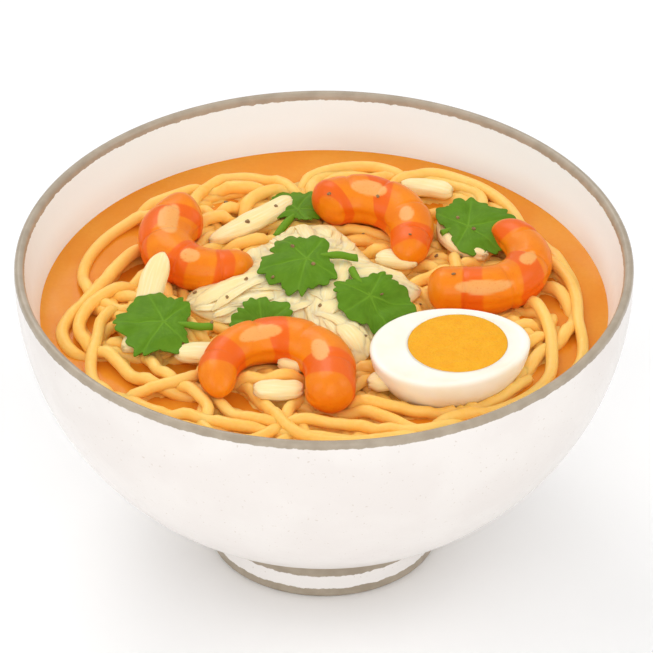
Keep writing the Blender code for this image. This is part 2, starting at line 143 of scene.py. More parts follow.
def finish(name, roughness, depths=None, **sockets):
    """A new material, with its node tree and shader.

    depths is how far red, green and blue light scatter under the surface, in metres. Other sockets are
    given by name, with _ for a space.
    """
    if depths:
        sockets |= {"Subsurface_Radius": depths, "Subsurface_Scale": 1.0}
    made = bpy.data.materials.new(name)
    made.use_nodes = True
    shader = made.node_tree.nodes["Principled BSDF"]
    shader.inputs["Roughness"].default_value = roughness
    for socket, value in sockets.items():
        shader.inputs[socket.replace("_", " ")].default_value = value
    print(f"finish {name}: roughness {roughness}")
    return made, made.node_tree, shader


print(f"half as bright on screen is {screen_colour('808080')[0]:.2f} in linear values")


# %% Noise for finishes
def plain_noise(tree, scale, detail=3.0, stretch=(1, 1, 1)):
    """Noise in the piece's own coordinates, with about scale lumps to the metre."""
    place = tree.nodes.new("ShaderNodeTexCoord")
    mapping = tree.nodes.new("ShaderNodeMapping")
    mapping.inputs["Scale"].default_value = stretch
    texture = tree.nodes.new("ShaderNodeTexNoise")
    texture.inputs["Scale"].default_value = scale
    texture.inputs["Detail"].default_value = detail
    tree.links.new(place.outputs["Object"], mapping.inputs["Vector"])
    tree.links.new(mapping.outputs["Vector"], texture.inputs["Vector"])
    return texture.outputs["Fac"]


def attribute(tree, name):
    """A number that the mesh carries at each point."""
    reader = tree.nodes.new("ShaderNodeAttribute")
    reader.attribute_name = name
    return reader.outputs["Fac"]


def grain_noise(tree, across, per_metre, detail=3.0):
    """Noise drawn out along a strand, which carries its places "along" and "around" at each point."""
    around = tree.nodes.new("ShaderNodeAttribute")
    around.attribute_name = "around"
    place = tree.nodes.new("ShaderNodeTexCoord")
    total = None
    for vector, factor in ((around.outputs["Vector"], across), (place.outputs["Object"], per_metre / 4)):
        scaled = tree.nodes.new("ShaderNodeVectorMath")
        scaled.operation = "MULTIPLY_ADD"
        tree.links.new(vector, scaled.inputs[0])
        scaled.inputs[1].default_value = (factor,) * 3
        if total:
            tree.links.new(total, scaled.inputs[2])
        total = scaled.outputs[0]
    lengthwise = tree.nodes.new("ShaderNodeCombineXYZ")
    tree.links.new(arithmetic(tree, "MULTIPLY", attribute(tree, "along"), per_metre), lengthwise.inputs["Z"])
    moved = tree.nodes.new("ShaderNodeVectorMath")
    tree.links.new(total, moved.inputs[0])
    tree.links.new(lengthwise.outputs[0], moved.inputs[1])
    texture = tree.nodes.new("ShaderNodeTexNoise")
    texture.inputs["Scale"].default_value = 1.0
    texture.inputs["Detail"].default_value = detail
    tree.links.new(moved.outputs[0], texture.inputs["Vector"])
    return texture.outputs["Fac"]


print("noise helpers ready")


# %% Mixing and relief
def steps(tree, value, low, high, start=0.0, end=1.0):
    """Maps low..high smoothly to start..end."""
    node = tree.nodes.new("ShaderNodeMapRange")
    node.interpolation_type = "SMOOTHSTEP"
    for socket, number in (("From Min", low), ("From Max", high), ("To Min", start), ("To Max", end)):
        node.inputs[socket].default_value = number
    tree.links.new(value, node.inputs["Value"])
    return node.outputs["Result"]


def arithmetic(tree, operation, one, other):
    """one and other, each a socket or a number, through a Math node."""
    node = tree.nodes.new("ShaderNodeMath")
    node.operation = operation
    for socket, value in zip(node.inputs, (one, other)):
        if isinstance(value, (int, float)):
            socket.default_value = value
        else:
            tree.links.new(value, socket)
    return node.outputs["Value"]


def mixed(tree, share, one, other):
    """A colour between two others, each a socket or hexadecimal digits."""
    node = tree.nodes.new("ShaderNodeMix")
    node.data_type = "RGBA"
    tree.links.new(share, node.inputs[0])
    for socket, colour in ((node.inputs[6], one), (node.inputs[7], other)):
        if isinstance(colour, str):
            socket.default_value = screen_colour(colour)
        else:
            tree.links.new(colour, socket)
    return node.outputs[2]


def coloured(tree, shader, colour):
    """The surface takes its colour from a socket."""
    tree.links.new(colour, shader.inputs["Base Color"])


def relief(tree, shader, height, depth):
    """Bumps the surface by a height of 0 to 1, which stands for a depth in metres."""
    node = tree.nodes.new("ShaderNodeBump")
    node.inputs["Distance"].default_value = depth
    tree.links.new(height, node.inputs["Height"])
    tree.links.new(node.outputs["Normal"], shader.inputs["Normal"])


print("mixing helpers ready")

# %% [markdown]
# ## The table
# The bowl stands on a plain white table, which only has to catch a soft shadow. It isn't part of the
# dish. A faint grain keeps it from being a perfectly even white.
# %% Table
TABLE_SIZE = 8.0

table_white, tree, shader = finish("table_white", 0.75)
coloured(tree, shader, mixed(tree, plain_noise(tree, 30), "FDFDFD", "FFFFFF"))
table_mesh = bpy.data.meshes.new("table")
corners = [(x * TABLE_SIZE / 2, y * TABLE_SIZE / 2, 0) for x, y in ((-1, -1), (1, -1), (1, 1), (-1, 1))]
table_mesh.from_pydata(corners, [], [range(4)])
table_mesh.materials.append(table_white)
shown("table", table_mesh)
print("table:", TABLE_SIZE, "m wide")

# %% [markdown]
# ## Helpers for shapes
# Most pieces are rings of points joined into a skin, as a potter or a cook would see them: a bowl is
# turned, a prawn is a row of slices. One helper joins rings and closes both ends, and another makes one
# piece out of several. Each finished piece takes the place of the solid that it stands for, which is hidden.
# %% Shape helpers
def blend(low, high, share):
    return low + (high - low) * share


def smooth_step(share):
    share = min(1.0, max(0.0, share))
    return share * share * (3 - 2 * share)


def turn_outwards(mesh):
    """Makes all faces of closed shells point outwards."""
    work = bmesh.new()
    work.from_mesh(mesh)
    bmesh.ops.recalc_face_normals(work, faces=work.faces)
    work.to_mesh(mesh)
    work.free()


def ring_skin(name, rings, tips, material):
    """A smooth closed skin over rings of equally many points, with a tip at each end."""
    count = len(rings[0])
    points = [tips[0], *[p for ring in rings for p in ring], tips[1]]
    faces = []
    for number in range(len(rings) - 1):
        for step in range(count):
            a, b = 1 + number * count + step, 1 + number * count + (step + 1) % count
            faces.append((a, b, b + count, a + count))
    last = 1 + (len(rings) - 1) * count
    for step in range(count):
        faces.append((0, 1 + (step + 1) % count, 1 + step))
        faces.append((len(points) - 1, last + step, last + (step + 1) % count))
    mesh = bpy.data.meshes.new(name)
    mesh.from_pydata([tuple(p) for p in points], [], faces)
    turn_outwards(mesh)
    mesh.shade_smooth()
    mesh.materials.append(material)
    return shown(name, mesh)


def joined(name, pieces, material):
    """One smooth object out of several that share a finish."""
    work = bmesh.new()
    for piece in pieces:
        work.from_mesh(piece.data)
        bpy.data.objects.remove(piece)
    mesh = bpy.data.meshes.new(name)
    work.to_mesh(mesh)
    work.free()
    mesh.materials.append(material)
    mesh.shade_smooth()
    return shown(name, mesh)


def circle_points(count):
    """Directions round a circle, evenly spaced, as (angle, cosine, sine)."""
    angles = [2 * math.pi * number / count for number in range(count)]
    return [(angle, math.cos(angle), math.sin(angle)) for angle in angles]


def paint(piece, name, values):
    """Stores a number, or a vector, at each point of the piece, for its finish to read."""
    values = np.array([tuple(v) if isinstance(v, Vector) else v for v in values], dtype=np.float32)
    kind, field = ("FLOAT", "value") if values.ndim == 1 else ("FLOAT_VECTOR", "vector")
    layer = piece.data.attributes.new(name, kind, "POINT")
    layer.data.foreach_set(field, values.ravel())


def serve(piece, slot, *solids):
    """The piece is done: it stands for those solids and moves with the bowl."""
    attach(piece, "root")
    if solids:
        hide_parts(*solids)
    triangles = sum(len(f.vertices) - 2 for f in piece.data.polygons)
    print(f"{piece.name}: {triangles} triangles, for {', '.join(solids) or 'no solid'}")


# %% [markdown]
# ## The bowl
# A stoneware bowl is thrown on a wheel: half an ellipsoid on a foot ring, with a wall that thins to a
# rounded lip. A Screw modifier could turn its outline, but rings of points let the wall wander by a
# tenth of a millimetre, as a hand-thrown one does. The outline follows the same few sizes as the solid.
# %% Bowl sizes
BOWL_RADIUS = 0.100
BOWL_HEIGHT = 0.1062
BOWL_DEPTH = 0.0973  # from the rim to where the outer curve would close
WALL = 0.0062
LIP = 0.0030
LIP_TAPER = 0.016
FOOT_RADIUS = 0.0372
FOOT_WALL = 0.0058
FOOT_RECESS = 0.0065
FLOOR = 0.0075
FOOT_BEND = 0.0012  # radius of the foot's edges
RECESS_BEND = 0.002
TURN_STEPS = 192
WALL_RINGS = 39
INSIDE_RINGS = 37
FLOOR_CORNER = 0.9  # share of the inside's radius that is left at the floor, where its corner is round
THROWN = 0.00012  # how far the wall wanders
print(f"bowl: {2000 * BOWL_RADIUS:.0f} mm wide, {1000 * BOWL_HEIGHT:.1f} mm high, wall {1000 * WALL:.1f} mm")


# %% Bowl shape
def outer_radius(height):
    return BOWL_RADIUS * math.sqrt(max(0.0, 1 - ((BOWL_HEIGHT - height) / BOWL_DEPTH) ** 2))


def inner_radius(height):
    wall = blend(LIP, WALL, smooth_step((BOWL_HEIGHT - height) / LIP_TAPER))
    return outer_radius(height) - wall


def rounded(corner, radius, start, end, count=6):
    """Points of an arc round a corner's centre, with the angles in degrees."""
    turns = [math.radians(blend(start, end, n / (count - 1))) for n in range(count)]
    return [(corner[0] + radius * math.cos(a), corner[1] + radius * math.sin(a)) for a in turns]


def turned(name, outline, material, wander=0.0):
    """Turns an outline of (radius, height) points, which starts and ends on the axis."""
    rings = []
    for radius, height in outline[1:-1]:
        ring = []
        for _, x, y in circle_points(TURN_STEPS):
            way = Vector((x, y, 0))
            drift = noise.noise(Vector((way.x * 1.5, way.y * 1.5, height * 55))) * wander
            ring.append(way * (radius - abs(drift)) + Vector((0, 0, height)))
        rings.append(ring)
    tips = [Vector((0, 0, outline[end][1])) for end in (0, -1)]
    return ring_skin(name, rings, tips, material)


foot_joint = BOWL_HEIGHT - BOWL_DEPTH * math.sqrt(1 - (FOOT_RADIUS / BOWL_RADIUS) ** 2)
hollow = FOOT_RADIUS - FOOT_WALL
underside = [(0, FOOT_RECESS), (hollow * 0.5, FOOT_RECESS), (hollow - 2 * RECESS_BEND, FOOT_RECESS)]
underside += rounded((hollow - RECESS_BEND, FOOT_RECESS - RECESS_BEND), RECESS_BEND, 90, 0)
underside += rounded((hollow + FOOT_BEND, FOOT_BEND), FOOT_BEND, 180, 270)
underside += rounded((FOOT_RADIUS - FOOT_BEND, FOOT_BEND), FOOT_BEND, 270, 360)
lowest = math.acos(FOOT_RADIUS / BOWL_RADIUS)
outside = [(FOOT_RADIUS - 0.0003, foot_joint - 0.0022), (FOOT_RADIUS, foot_joint - 0.0004)]
for number in range(1, WALL_RINGS + 1):
    angle = blend(lowest, 0, number / WALL_RINGS)
    drop = LIP / 2 + (BOWL_DEPTH - LIP / 2) * math.sin(angle)
    outside.append((BOWL_RADIUS * math.cos(angle), BOWL_HEIGHT - drop))
lip = rounded((BOWL_RADIUS - LIP / 2, BOWL_HEIGHT - LIP / 2), LIP / 2, 0, 180, 11)[1:-1]
floor_height = foot_joint + FLOOR
inside = []
for number in range(INSIDE_RINGS):
    share = number / (INSIDE_RINGS - 1)
    height = blend(BOWL_HEIGHT - LIP / 2, floor_height, 1 - (1 - share) ** 2)
    corner = blend(FLOOR_CORNER, 1.0, smooth_step((1 - share) / 0.3))
    inside.append((inner_radius(height) * corner, height))
inside += [(inside[-1][0] * 0.6, floor_height), (0, floor_height)]
outline = underside + outside + lip + inside
print(f"bowl: foot joint {foot_joint * 1000:.1f} mm up, {len(outline)} points in its outline")

# %% [markdown]
# ## Glaze
# The glaze is a warm off-white, with a brush-painted taupe line along the lip, one round the top of the
# foot and one where the bowl stands. Paint could be a second piece, but a painted line has no
# thickness, so it's a band of colour by height whose edge trembles with noise, as a brush does. Faint
# iron specks and a soft mottle keep the white alive. Inside, where the broth throws its orange light on
# the wall, the glaze is mixed a little cooler, so that it still looks white.
# %% Glaze finish
LIP_LINE = 0.0023  # how far the painted line comes down from the lip
JOINT_LINE = 0.0084  # and down the foot from its joint with the bowl
JOINT_OVERLAP = 0.0006  # how far that line reaches up onto the belly
FOOT_LINE = 0.0034
BRUSH = 0.0007  # how far a line's edge trembles
LINE_BLUR = 0.00012

glaze, tree, shader = finish("glaze", 0.24, Specular_IOR_Level=0.3)
place = tree.nodes.new("ShaderNodeTexCoord")
axes = tree.nodes.new("ShaderNodeSeparateXYZ")
tree.links.new(place.outputs["Object"], axes.inputs["Vector"])
tremble = arithmetic(tree, "SUBTRACT", plain_noise(tree, 420, 4), 0.5)
tremble = arithmetic(tree, "MULTIPLY", tremble, 2 * BRUSH)
level = arithmetic(tree, "ADD", axes.outputs["Z"], tremble)


def painted(height, edge, *ends):
    """The share of paint by height, changing over a narrow blur at an edge."""
    return steps(tree, height, edge - LINE_BLUR, edge + LINE_BLUR, *ends)


lip_line = painted(level, BOWL_HEIGHT - LIP_LINE)
joint_middle = foot_joint + JOINT_OVERLAP - JOINT_LINE / 2
off_joint = arithmetic(tree, "ABSOLUTE", arithmetic(tree, "SUBTRACT", level, joint_middle), 0)
joint_line = painted(off_joint, JOINT_LINE / 2, 1, 0)
foot_line = painted(level, FOOT_LINE, 1, 0)
lines = arithmetic(tree, "MAXIMUM", arithmetic(tree, "MAXIMUM", lip_line, joint_line), foot_line)
mottle_and_painted_foot_light = mixed(tree, steps(tree, plain_noise(tree, 38, 5), 0.35, 0.65), "EFE9E4", "EBE4DF")
# Below the joint the foot is painted a lighter white: painted light that lifts the shade under the bowl's
# belly.
mottle_and_painted_foot_light = mixed(tree, steps(tree, level, foot_joint - 0.001, foot_joint, 1, 0), mottle_and_painted_foot_light, "FBF6F2")
specks = steps(tree, plain_noise(tree, 900, 1), 0.71, 0.76)
speckled = mixed(tree, arithmetic(tree, "MULTIPLY", specks, 0.45), mottle_and_painted_foot_light, "CDBFB0")
speckled = mixed(tree, arithmetic(tree, "MULTIPLY", attribute(tree, "inner"), 0.9), speckled, "F5FEFF")
paint_colour = mixed(tree, steps(tree, plain_noise(tree, 160, 4), 0.3, 0.7), "B3A592", "A59784")
coloured(tree, shader, mixed(tree, lines, speckled, paint_colour))
relief(tree, shader, plain_noise(tree, 70, 4), 0.0002)

bowl = turned("stoneware_bowl", outline, glaze, THROWN)
outer_points = 1 + (len(outline) - len(inside) - 1) * TURN_STEPS
inner_points = (len(inside) - 1) * TURN_STEPS + 1
paint(bowl, "inner", [0.0] * outer_points + [1.0] * inner_points)
serve(bowl, "glaze", "bowl")

# %% [markdown]
# ## The broth
# Laksa broth is opaque: coconut milk with curry paste, so light scatters just under its surface. It's a
# closed body that follows the bowl's inside and reaches a hair into the wall, because a gap there would
# show as a dark line. At the wall the surface climbs a little, as any liquid's does.
# %% Broth shape and finish
SOUP_LEVEL = BOWL_HEIGHT - 0.0190
CLIMB = 0.0002  # of the meniscus
CLIMB_WIDTH = 0.0012
INTO_WALL = 0.0002
DEEP_RINGS, FLAT_RINGS = 12, 24
FLAT_WIDTH = 0.05  # of the outer part of the surface, whose rings crowd towards the wall

broth_finish, tree, shader = finish(
    "broth", 0.16, (0.004, 0.0018, 0.0006), Specular_IOR_Level=0.2, Subsurface_Weight=0.1
)
cloud = steps(tree, plain_noise(tree, 55, 6), 0.32, 0.68)
grain = steps(tree, plain_noise(tree, 700, 3), 0.3, 0.7)
base = mixed(tree, cloud, "EA8F22", "ED992E")
strength = arithmetic(tree, "MULTIPLY", grain, 0.25)
coloured(tree, shader, mixed(tree, strength, base, "E38418"))
relief(tree, shader, plain_noise(tree, 120, 3), 0.00012)

broth_rings = [(0, floor_height - INTO_WALL)]
for number in range(1, DEEP_RINGS + 1):
    share = number / DEEP_RINGS
    height = blend(floor_height, SOUP_LEVEL, share**2)
    corner = blend(FLOOR_CORNER, 1.0, smooth_step(share / 0.35))
    broth_rings.append((inner_radius(height) * corner + INTO_WALL, height))
broth_edge = inner_radius(SOUP_LEVEL) + INTO_WALL
broth_rings[-1] = (broth_edge, SOUP_LEVEL + CLIMB)
for number in range(1, FLAT_RINGS + 1):
    off_wall = FLAT_WIDTH * (number / FLAT_RINGS) ** 2
    broth_rings.append((broth_edge - off_wall, SOUP_LEVEL + CLIMB * math.exp(-off_wall / CLIMB_WIDTH)))
broth_rings += [(broth_edge * 0.25, SOUP_LEVEL), (0, SOUP_LEVEL)]
broth = turned("curry_broth", broth_rings, broth_finish)
serve(broth, "broth", "broth")
print(f"broth surface: {2 * broth_edge * 1000:.0f} mm wide")

# %% [markdown]
# ## The lie of the food
# Toppings rest on noodles and noodles rest in broth. The noodles' surface is a low crown, and the
# chicken makes a heap on it with tongues that spread between the other toppings. Both are written as a
# height at each place, with the same sizes as the solids, because every later piece is laid on them.
# %% Surfaces that carry the toppings
NEST_RADIUS = 0.0855
NEST_EDGE = SOUP_LEVEL - 0.0018
NEST_SHOULDER = 0.0042
NEST_CROWN = 0.0030
HEAP_CENTRE = Vector((-0.003, 0.004))
HEAP_RADIUS = 0.0255
HEAP_HEIGHT = 0.0085
HEAP_TONGUES = [(92, 28, 0.0150), (0, 17, 0.0108), (291, 15, 0.0185), (188, 29, 0.0185), (132, 12, 0.0050)]


def bump(angle, heading, width):
    off = (math.degrees(angle) - heading + 180) % 360 - 180
    return math.exp(-((off / width) ** 2))


def nest_reach(angle):
    lobes = 0.0010 * math.cos(5 * angle + 0.6) + 0.0007 * math.cos(8 * angle - 1.0)
    return NEST_RADIUS + lobes - 0.0035 * bump(angle, 110, 45) - 0.0045 * bump(angle, 97, 9)


def nest_share(place):
    return place.length / nest_reach(math.atan2(place.y, place.x) % (2 * math.pi))


def nest_surface(place):
    share = min(1.0, nest_share(place))
    return NEST_EDGE + NEST_SHOULDER * (1 - share**14) + NEST_CROWN * (1 - share**2)


def heap_reach(angle):
    return HEAP_RADIUS + sum(reach * bump(angle, heading, width) for heading, width, reach in HEAP_TONGUES)


def heap_share(place):
    out = place - HEAP_CENTRE
    return out.length / heap_reach(math.atan2(out.y, out.x))


def heap_surface(place):
    return nest_surface(place) + HEAP_HEIGHT * (1 - min(1.0, heap_share(place)) ** 2) ** 0.8


crown, summit = nest_surface(Vector((0, 0))), heap_surface(HEAP_CENTRE)
print(f"noodles crown at {crown * 1000:.1f} mm, chicken at {summit * 1000:.1f} mm")

# %% [markdown]
# ## What lies above
# A noodle may not push through a prawn. A height map of the undersides of the toppings, read by rays
# from below on a grid of one millimetre, tells every strand how high it may lie. A simulation could
# settle the strands instead, but it would take minutes and come out different with every change.
# %% Undersides of the toppings
CELL = 0.001
HALF_CELLS = 92
CELLS = 2 * HALF_CELLS + 1
RAY_START = 0.080  # under all the toppings


def cell_of(x, y):
    """The cell of the grid that a place lies in."""
    return tuple(min(CELLS - 1, max(0, round(p / CELL) + HALF_CELLS)) for p in (x, y))


def tree_of(names):
    """One search tree over several solids."""
    points, faces = [], []
    for name in names:
        mesh = nodes[name].data
        start = len(points)
        points += [v.co.copy() for v in mesh.vertices]
        faces += [[start + i for i in face.vertices] for face in mesh.polygons]
    return BVHTree.FromPolygons(points, faces)


def undersides(names):
    """Height of the lowest of these solids over each cell, or 1 m where there is none."""
    search = tree_of(names)
    found = np.ones((CELLS, CELLS))
    for i in range(CELLS):
        for j in range(CELLS):
            start = Vector(((i - HALF_CELLS) * CELL, (j - HALF_CELLS) * CELL, RAY_START))
            hit = search.ray_cast(start, Vector((0, 0, 1)))[0]
            if hit is not None:
                found[i, j] = hit.z
    return found


firm = [n for n in nodes if n.startswith(("prawn", "egg", "chicken_strip", "coriander"))]
over_noodles = undersides([*firm, "chicken_heap"])
over_chicken = undersides(firm)
print(f"toppings cover {(over_noodles < 1).sum() * CELL * CELL * 1e4:.0f} square cm of the noodles")

# %% [markdown]
# ## How noodles find their way
# Cooked noodles lie in lazy curves that cross, loop back and leave lens-shaped gaps where the broth
# shows. The loops that catch the eye are drawn as a few points each. The rest are grown: each strand
# looks a little way ahead and bends towards what is still bare, round the gaps and inside the nest. A
# random scribble would be shorter to write, but would leave its gaps anywhere.
# %% Gaps and loops
STRAND = 0.00205  # radius of a noodle
GAPS = [  # place, length and width in mm, heading in degrees
    (-65.8, 38, 27, 10, 62), (-72.5, 24, 20, 5.5, 70), (-62.3, 18, 19, 7.5, 58),
    (-74.3, -7.8, 11.5, 5, 85), (-81, -11, 7, 3, 100), (-66.9, -16, 10, 3.5, 105),
    (-67, -36.5, 22, 9, -57), (-57.5, -34.3, 14, 5.5, -48), (-45.4, -34.5, 13, 11, -5),
    (-47.8, -54, 19, 11, -5), (-33.6, -63, 7.5, 5, -12), (-28.4, -51.5, 13, 8, -62),
    (-22.5, -58, 10, 5.5, -40), (-22.5, -41, 6, 3.5, 25), (-13.6, -57.8, 9, 3.2, 80),
    (-2, -60, 15, 5, -8), (11.8, -64, 19, 5, -24), (0, -70, 11, 3, -10), (18.5, -54, 9, 4, -10),
    (30.6, -62.5, 15, 4.5, -3), (54, -56.8, 6.5, 3.5, 28), (64.4, -45.8, 7, 3.8, 55),
    (69.4, -33.8, 8, 3, 72), (77.4, -25.3, 17, 6.5, 74), (74.8, 15.5, 6, 3, -52),
    (72.8, 3.5, 11, 6, -75), (76.9, -3.8, 11.5, 3.4, -80), (65.3, -6.2, 8, 4.8, -70),
    (-23.6, 69.5, 10, 5, -25), (-33, 58.5, 12, 4.6, 50), (-30, 49.5, 6, 3.2, 38),
    (-22.5, 38, 15, 5, 34), (15, 32, 9, 4, 25), (43.5, 65.5, 6, 4, -60), (36.9, 59, 12, 3, 5),
    (36.9, 49.8, 7.5, 4.2, -5), (30.3, 15, 9, 6, 12), (-9.3, 79, 13, 14, 0), (-84, 5, 9, 8, 0),
    (-83.5, -34, 24, 9, -62), (73.5, 51.5, 30, 8, -55), (-36.8, -16.5, 6, 4, 20),
    (26, 80.5, 4.5, 3.5, 0),
]  # fmt: skip
LOOPS = [  # points in mm that the eye-catching strands pass through
    [(-46, 46), (-58, 50), (-67, 45), (-74.4, 34), (-78, 22),
     (-77, 11), (-72, 1), (-62, -6), (-48, -10)],
    [(-50, 40), (-58.7, 31), (-67, 19), (-74, 6), (-82, -5),
     (-84.4, -14), (-80, -24), (-70, -26), (-56, -27)],
    [(-60, 8.5), (-69, 5), (-76.5, -3), (-79, -12), (-76, -22),
     (-68, -30), (-61, -40), (-52, -46.5), (-40, -49)],
    [(-66, -2), (-71.5, -10), (-73, -20), (-75, -32), (-73, -43), (-66, -52)],
    [(-58, -27), (-52.5, -38.8), (-47, -45), (-41, -52), (-37, -59), (-39, -66)],
    [(-66, -52), (-56, -48.6), (-48, -46), (-41, -42.5), (-38, -34), (-34, -26)],
    [(-44, 44), (-41, 61), (-33, 71.5), (-25, 74.5), (-17, 70.5), (-10, 63), (-5, 54)],
    [(-8, 65), (-3, 73.5), (6, 77.5), (16, 78), (24, 74), (28.5, 68), (30, 58)],
    [(20, 64), (27, 71.5), (35, 74.5), (44, 71), (53, 64.5), (60, 55), (64, 44), (66, 30)],
    [(70, 29), (78, 17), (81.5, 4), (82, -9), (83.4, -20), (82, -31), (76, -43), (67, -53)],
    [(4, -54), (13, -57), (23, -58.8), (33, -58.6), (43, -57), (52, -52.8), (60, -46), (66, -38)],
    [(62, 8), (69, -3), (72.5, -15), (73.3, -27), (72.5, -37),
     (67.5, -46), (59, -54), (47, -61), (34, -66.5)],
]  # fmt: skip


def smooth_path(points, spacing):
    """A Catmull-Rom curve through points, as evenly spaced as the grid needs."""
    ends = [2 * points[0] - points[1], *points, 2 * points[-1] - points[-2]]
    path = [points[0]]
    for a, b, c, d in zip(ends, ends[1:], ends[2:], ends[3:]):
        pieces = max(1, round((c - b).length / spacing))
        for number in range(1, pieces + 1):
            t = number / pieces
            square = 2 * b + (c - a) * t + (2 * a - 5 * b + 4 * c - d) * t * t
            path.append(0.5 * (square + (3 * b - a - 3 * c + d) * t**3))
    return path


loops = [smooth_path([Vector(p) * 0.001 for p in loop], CELL) for loop in LOOPS]
print(len(GAPS), "gaps and", len(loops), "loops")

# %% [markdown]
# The ground that the strands see is a map of penalties: high in a gap and past the edge of the nest,
# and low elsewhere. A second map counts the strands that already pass through each cell, and a third
# marks where a strand is wanted, which is everywhere but the gaps and deep under the toppings.
# %% Maps of the nest
GAP_EDGE = 1.12  # share of a gap's reach where its penalty starts
NEST_LIMIT = 0.955  # share of the nest's reach where the rim's penalty starts
WANTED_SHARE = 0.965
BURIED = 7  # cells inside the edge of a topping where no strand is wanted any more
GAP_COST, RIM_COST = 6, 14

span = (np.arange(CELLS) - HALF_CELLS) * CELL
grid_x, grid_y = np.meshgrid(span, span, indexing="ij")
shares = np.array([[nest_share(Vector((x, y))) if x or y else 0.0 for y in span] for x in span])


def gap_share(x, y, margin=0.0):
    """Distance from the middle of the nearest gap, against that of the gap's edge."""
    nearest = np.full(np.shape(x), 9.0)
    for middle_x, middle_y, length, width, heading in GAPS:
        turn, dx, dy = math.radians(heading), x - middle_x / 1000, y - middle_y / 1000
        along = (dx * math.cos(turn) + dy * math.sin(turn)) / (length / 2000 + margin)
        across = (dy * math.cos(turn) - dx * math.sin(turn)) / (width / 2000 + margin)
        nearest = np.minimum(nearest, np.hypot(along, across))
    return nearest


gap_depth = np.clip(4 * (GAP_EDGE - gap_share(grid_x, grid_y, 0.7 * STRAND)), 0, 1.5)
penalty = GAP_COST * gap_depth + RIM_COST * np.clip((shares - NEST_LIMIT) / 0.03, 0, 3)


def widened(mask, cells):
    """A mask grown by so many cells, or shrunk by a negative number."""
    if cells < 0:
        return ~widened(~mask, -cells)
    grown = mask.copy()
    for _ in range(cells):
        grown[1:] |= grown[:-1].copy()
        grown[:-1] |= grown[1:].copy()
        grown[:, 1:] |= grown[:, :-1].copy()
        grown[:, :-1] |= grown[:, 1:].copy()
    return grown


wanted = (shares < WANTED_SHARE) & (gap_share(grid_x, grid_y) > 1) & ~widened(over_noodles < 1, -BURIED)
strands_over = np.zeros((CELLS, CELLS))


def cells_round(path, radius):
    """For each place of a path, the cells within a radius, and how far each cell is from the place's own."""
    reach = range(-math.ceil(radius / CELL), math.ceil(radius / CELL) + 1)
    around = np.array([(i, j) for i in reach for j in reach if math.hypot(i, j) * CELL <= radius])
    near_cells = [tuple(np.clip(around + cell_of(*place), 0, CELLS - 1).T) for place in path]
    return near_cells, np.hypot(*around.T) * CELL


def mark(path, radius, counts):
    """Adds 1 to the cells that a strand covers."""
    covered = np.zeros((CELLS, CELLS), bool)
    for cells in cells_round(path, radius)[0]:
        covered[cells] = True
    counts += covered


def share_covered():
    return ((strands_over > 0) & wanted).sum() / wanted.sum()


for loop in loops:
    mark(loop, STRAND, strands_over)
print(f"{wanted.sum() * CELL * CELL * 1e4:.0f} square cm want noodles, loops cover {share_covered():.0%}")

# %% [markdown]
# A strand grows from its middle out to both ends. At each step it tries nine bends, adds up what lies
# on the next 16 mm of each, and takes the cheapest. Bare cells pull it, cells with strands push it away,
# and near the rim it likes to run along the wall, as noodles do that were swirled into the bowl.
# %% Growing the strands
STEP = 0.002
TIGHTEST = 0.0125  # radius of the sharpest bend
BENDS = np.linspace(-1 / TIGHTEST, 1 / TIGHTEST, 9)  # 1 over the radius of each bend
AHEAD = np.arange(1, 9) * STEP
WEIGHTS = np.linspace(1.2, 0.7, len(AHEAD))  # nearer places count for more
CROWDED = 0.8  # cost of a cell that one strand passes through
BARE_GAIN, WALL_GAIN = 1.3, 0.7  # of a bare cell, and of running along the wall near the rim
BEND_COST, CHANGE_COST = 0.00012, 0.00045
TOO_DEAR = 26  # a strand ends where its best way on costs more than this
ENOUGH = 0.992  # share of the wanted cells that has to be covered
MOST_STRANDS = 240
SHORTEST = 12  # steps
HALF_LENGTHS = (0.045, 0.095)
draws = random.Random(11)


def price(x, y, heading, bends):
    """Cost of going on with each bend, over the stretch ahead."""
    angle = heading + np.outer(bends, AHEAD) / 2
    i = np.clip(np.round((x + AHEAD * np.cos(angle)) / CELL).astype(int) + HALF_CELLS, 0, CELLS - 1)
    j = np.clip(np.round((y + AHEAD * np.sin(angle)) / CELL).astype(int) + HALF_CELLS, 0, CELLS - 1)
    bare = wanted[i, j] & (strands_over[i, j] == 0)
    cost = penalty[i, j] + CROWDED * np.minimum(strands_over[i, j], 3) ** 1.5 - BARE_GAIN * bare
    along_wall = np.abs(np.sin(np.arctan2(grid_y[i, j], grid_x[i, j]) - heading - np.outer(bends, AHEAD)))
    cost = cost - WALL_GAIN * along_wall * np.clip(3 * shares[i, j] - 1.6, 0, 1)
    return (cost * WEIGHTS).sum(axis=1)


def grow(start, heading, length):
    """One half of a strand."""
    x, y = start
    bend, path = 0.0, []
    for _ in range(int(length / STEP)):
        costs = price(x, y, heading, BENDS) + CHANGE_COST * (BENDS - bend) ** 2 + BEND_COST * BENDS**2
        best = int(np.argmin(costs))
        if costs[best] > TOO_DEAR:
            break
        bend = blend(bend, BENDS[best], 0.5)
        heading += bend * STEP
        x, y = x + STEP * math.cos(heading), y + STEP * math.sin(heading)
        path.append(Vector((x, y)))
    return path


def next_strand():
    """A strand through the barest place that still wants one."""
    bare = (wanted & (strands_over == 0)).astype(float)
    room = bare.copy()
    for i, j in ((1, 0), (-1, 0), (0, 1), (0, -1), (2, 1), (-1, 2), (-2, -1), (1, -2)):
        room += np.roll(bare, (i, j), (0, 1))
    i, j = np.unravel_index(np.argmax(room * bare), room.shape)
    draws.random()  # passed over, so that the draws after it stay as they are
    start = (span[i], span[j])
    headings = [draws.uniform(0, 2 * math.pi) for _ in range(10)]
    costs = [price(*start, h, np.zeros(1))[0] + price(*start, h + math.pi, np.zeros(1))[0] for h in headings]
    heading = headings[int(np.argmin(costs))]
    length = draws.uniform(*HALF_LENGTHS)
    back = grow(start, heading + math.pi, length)
    return [*reversed(back), Vector(start), *grow(start, heading, length)]


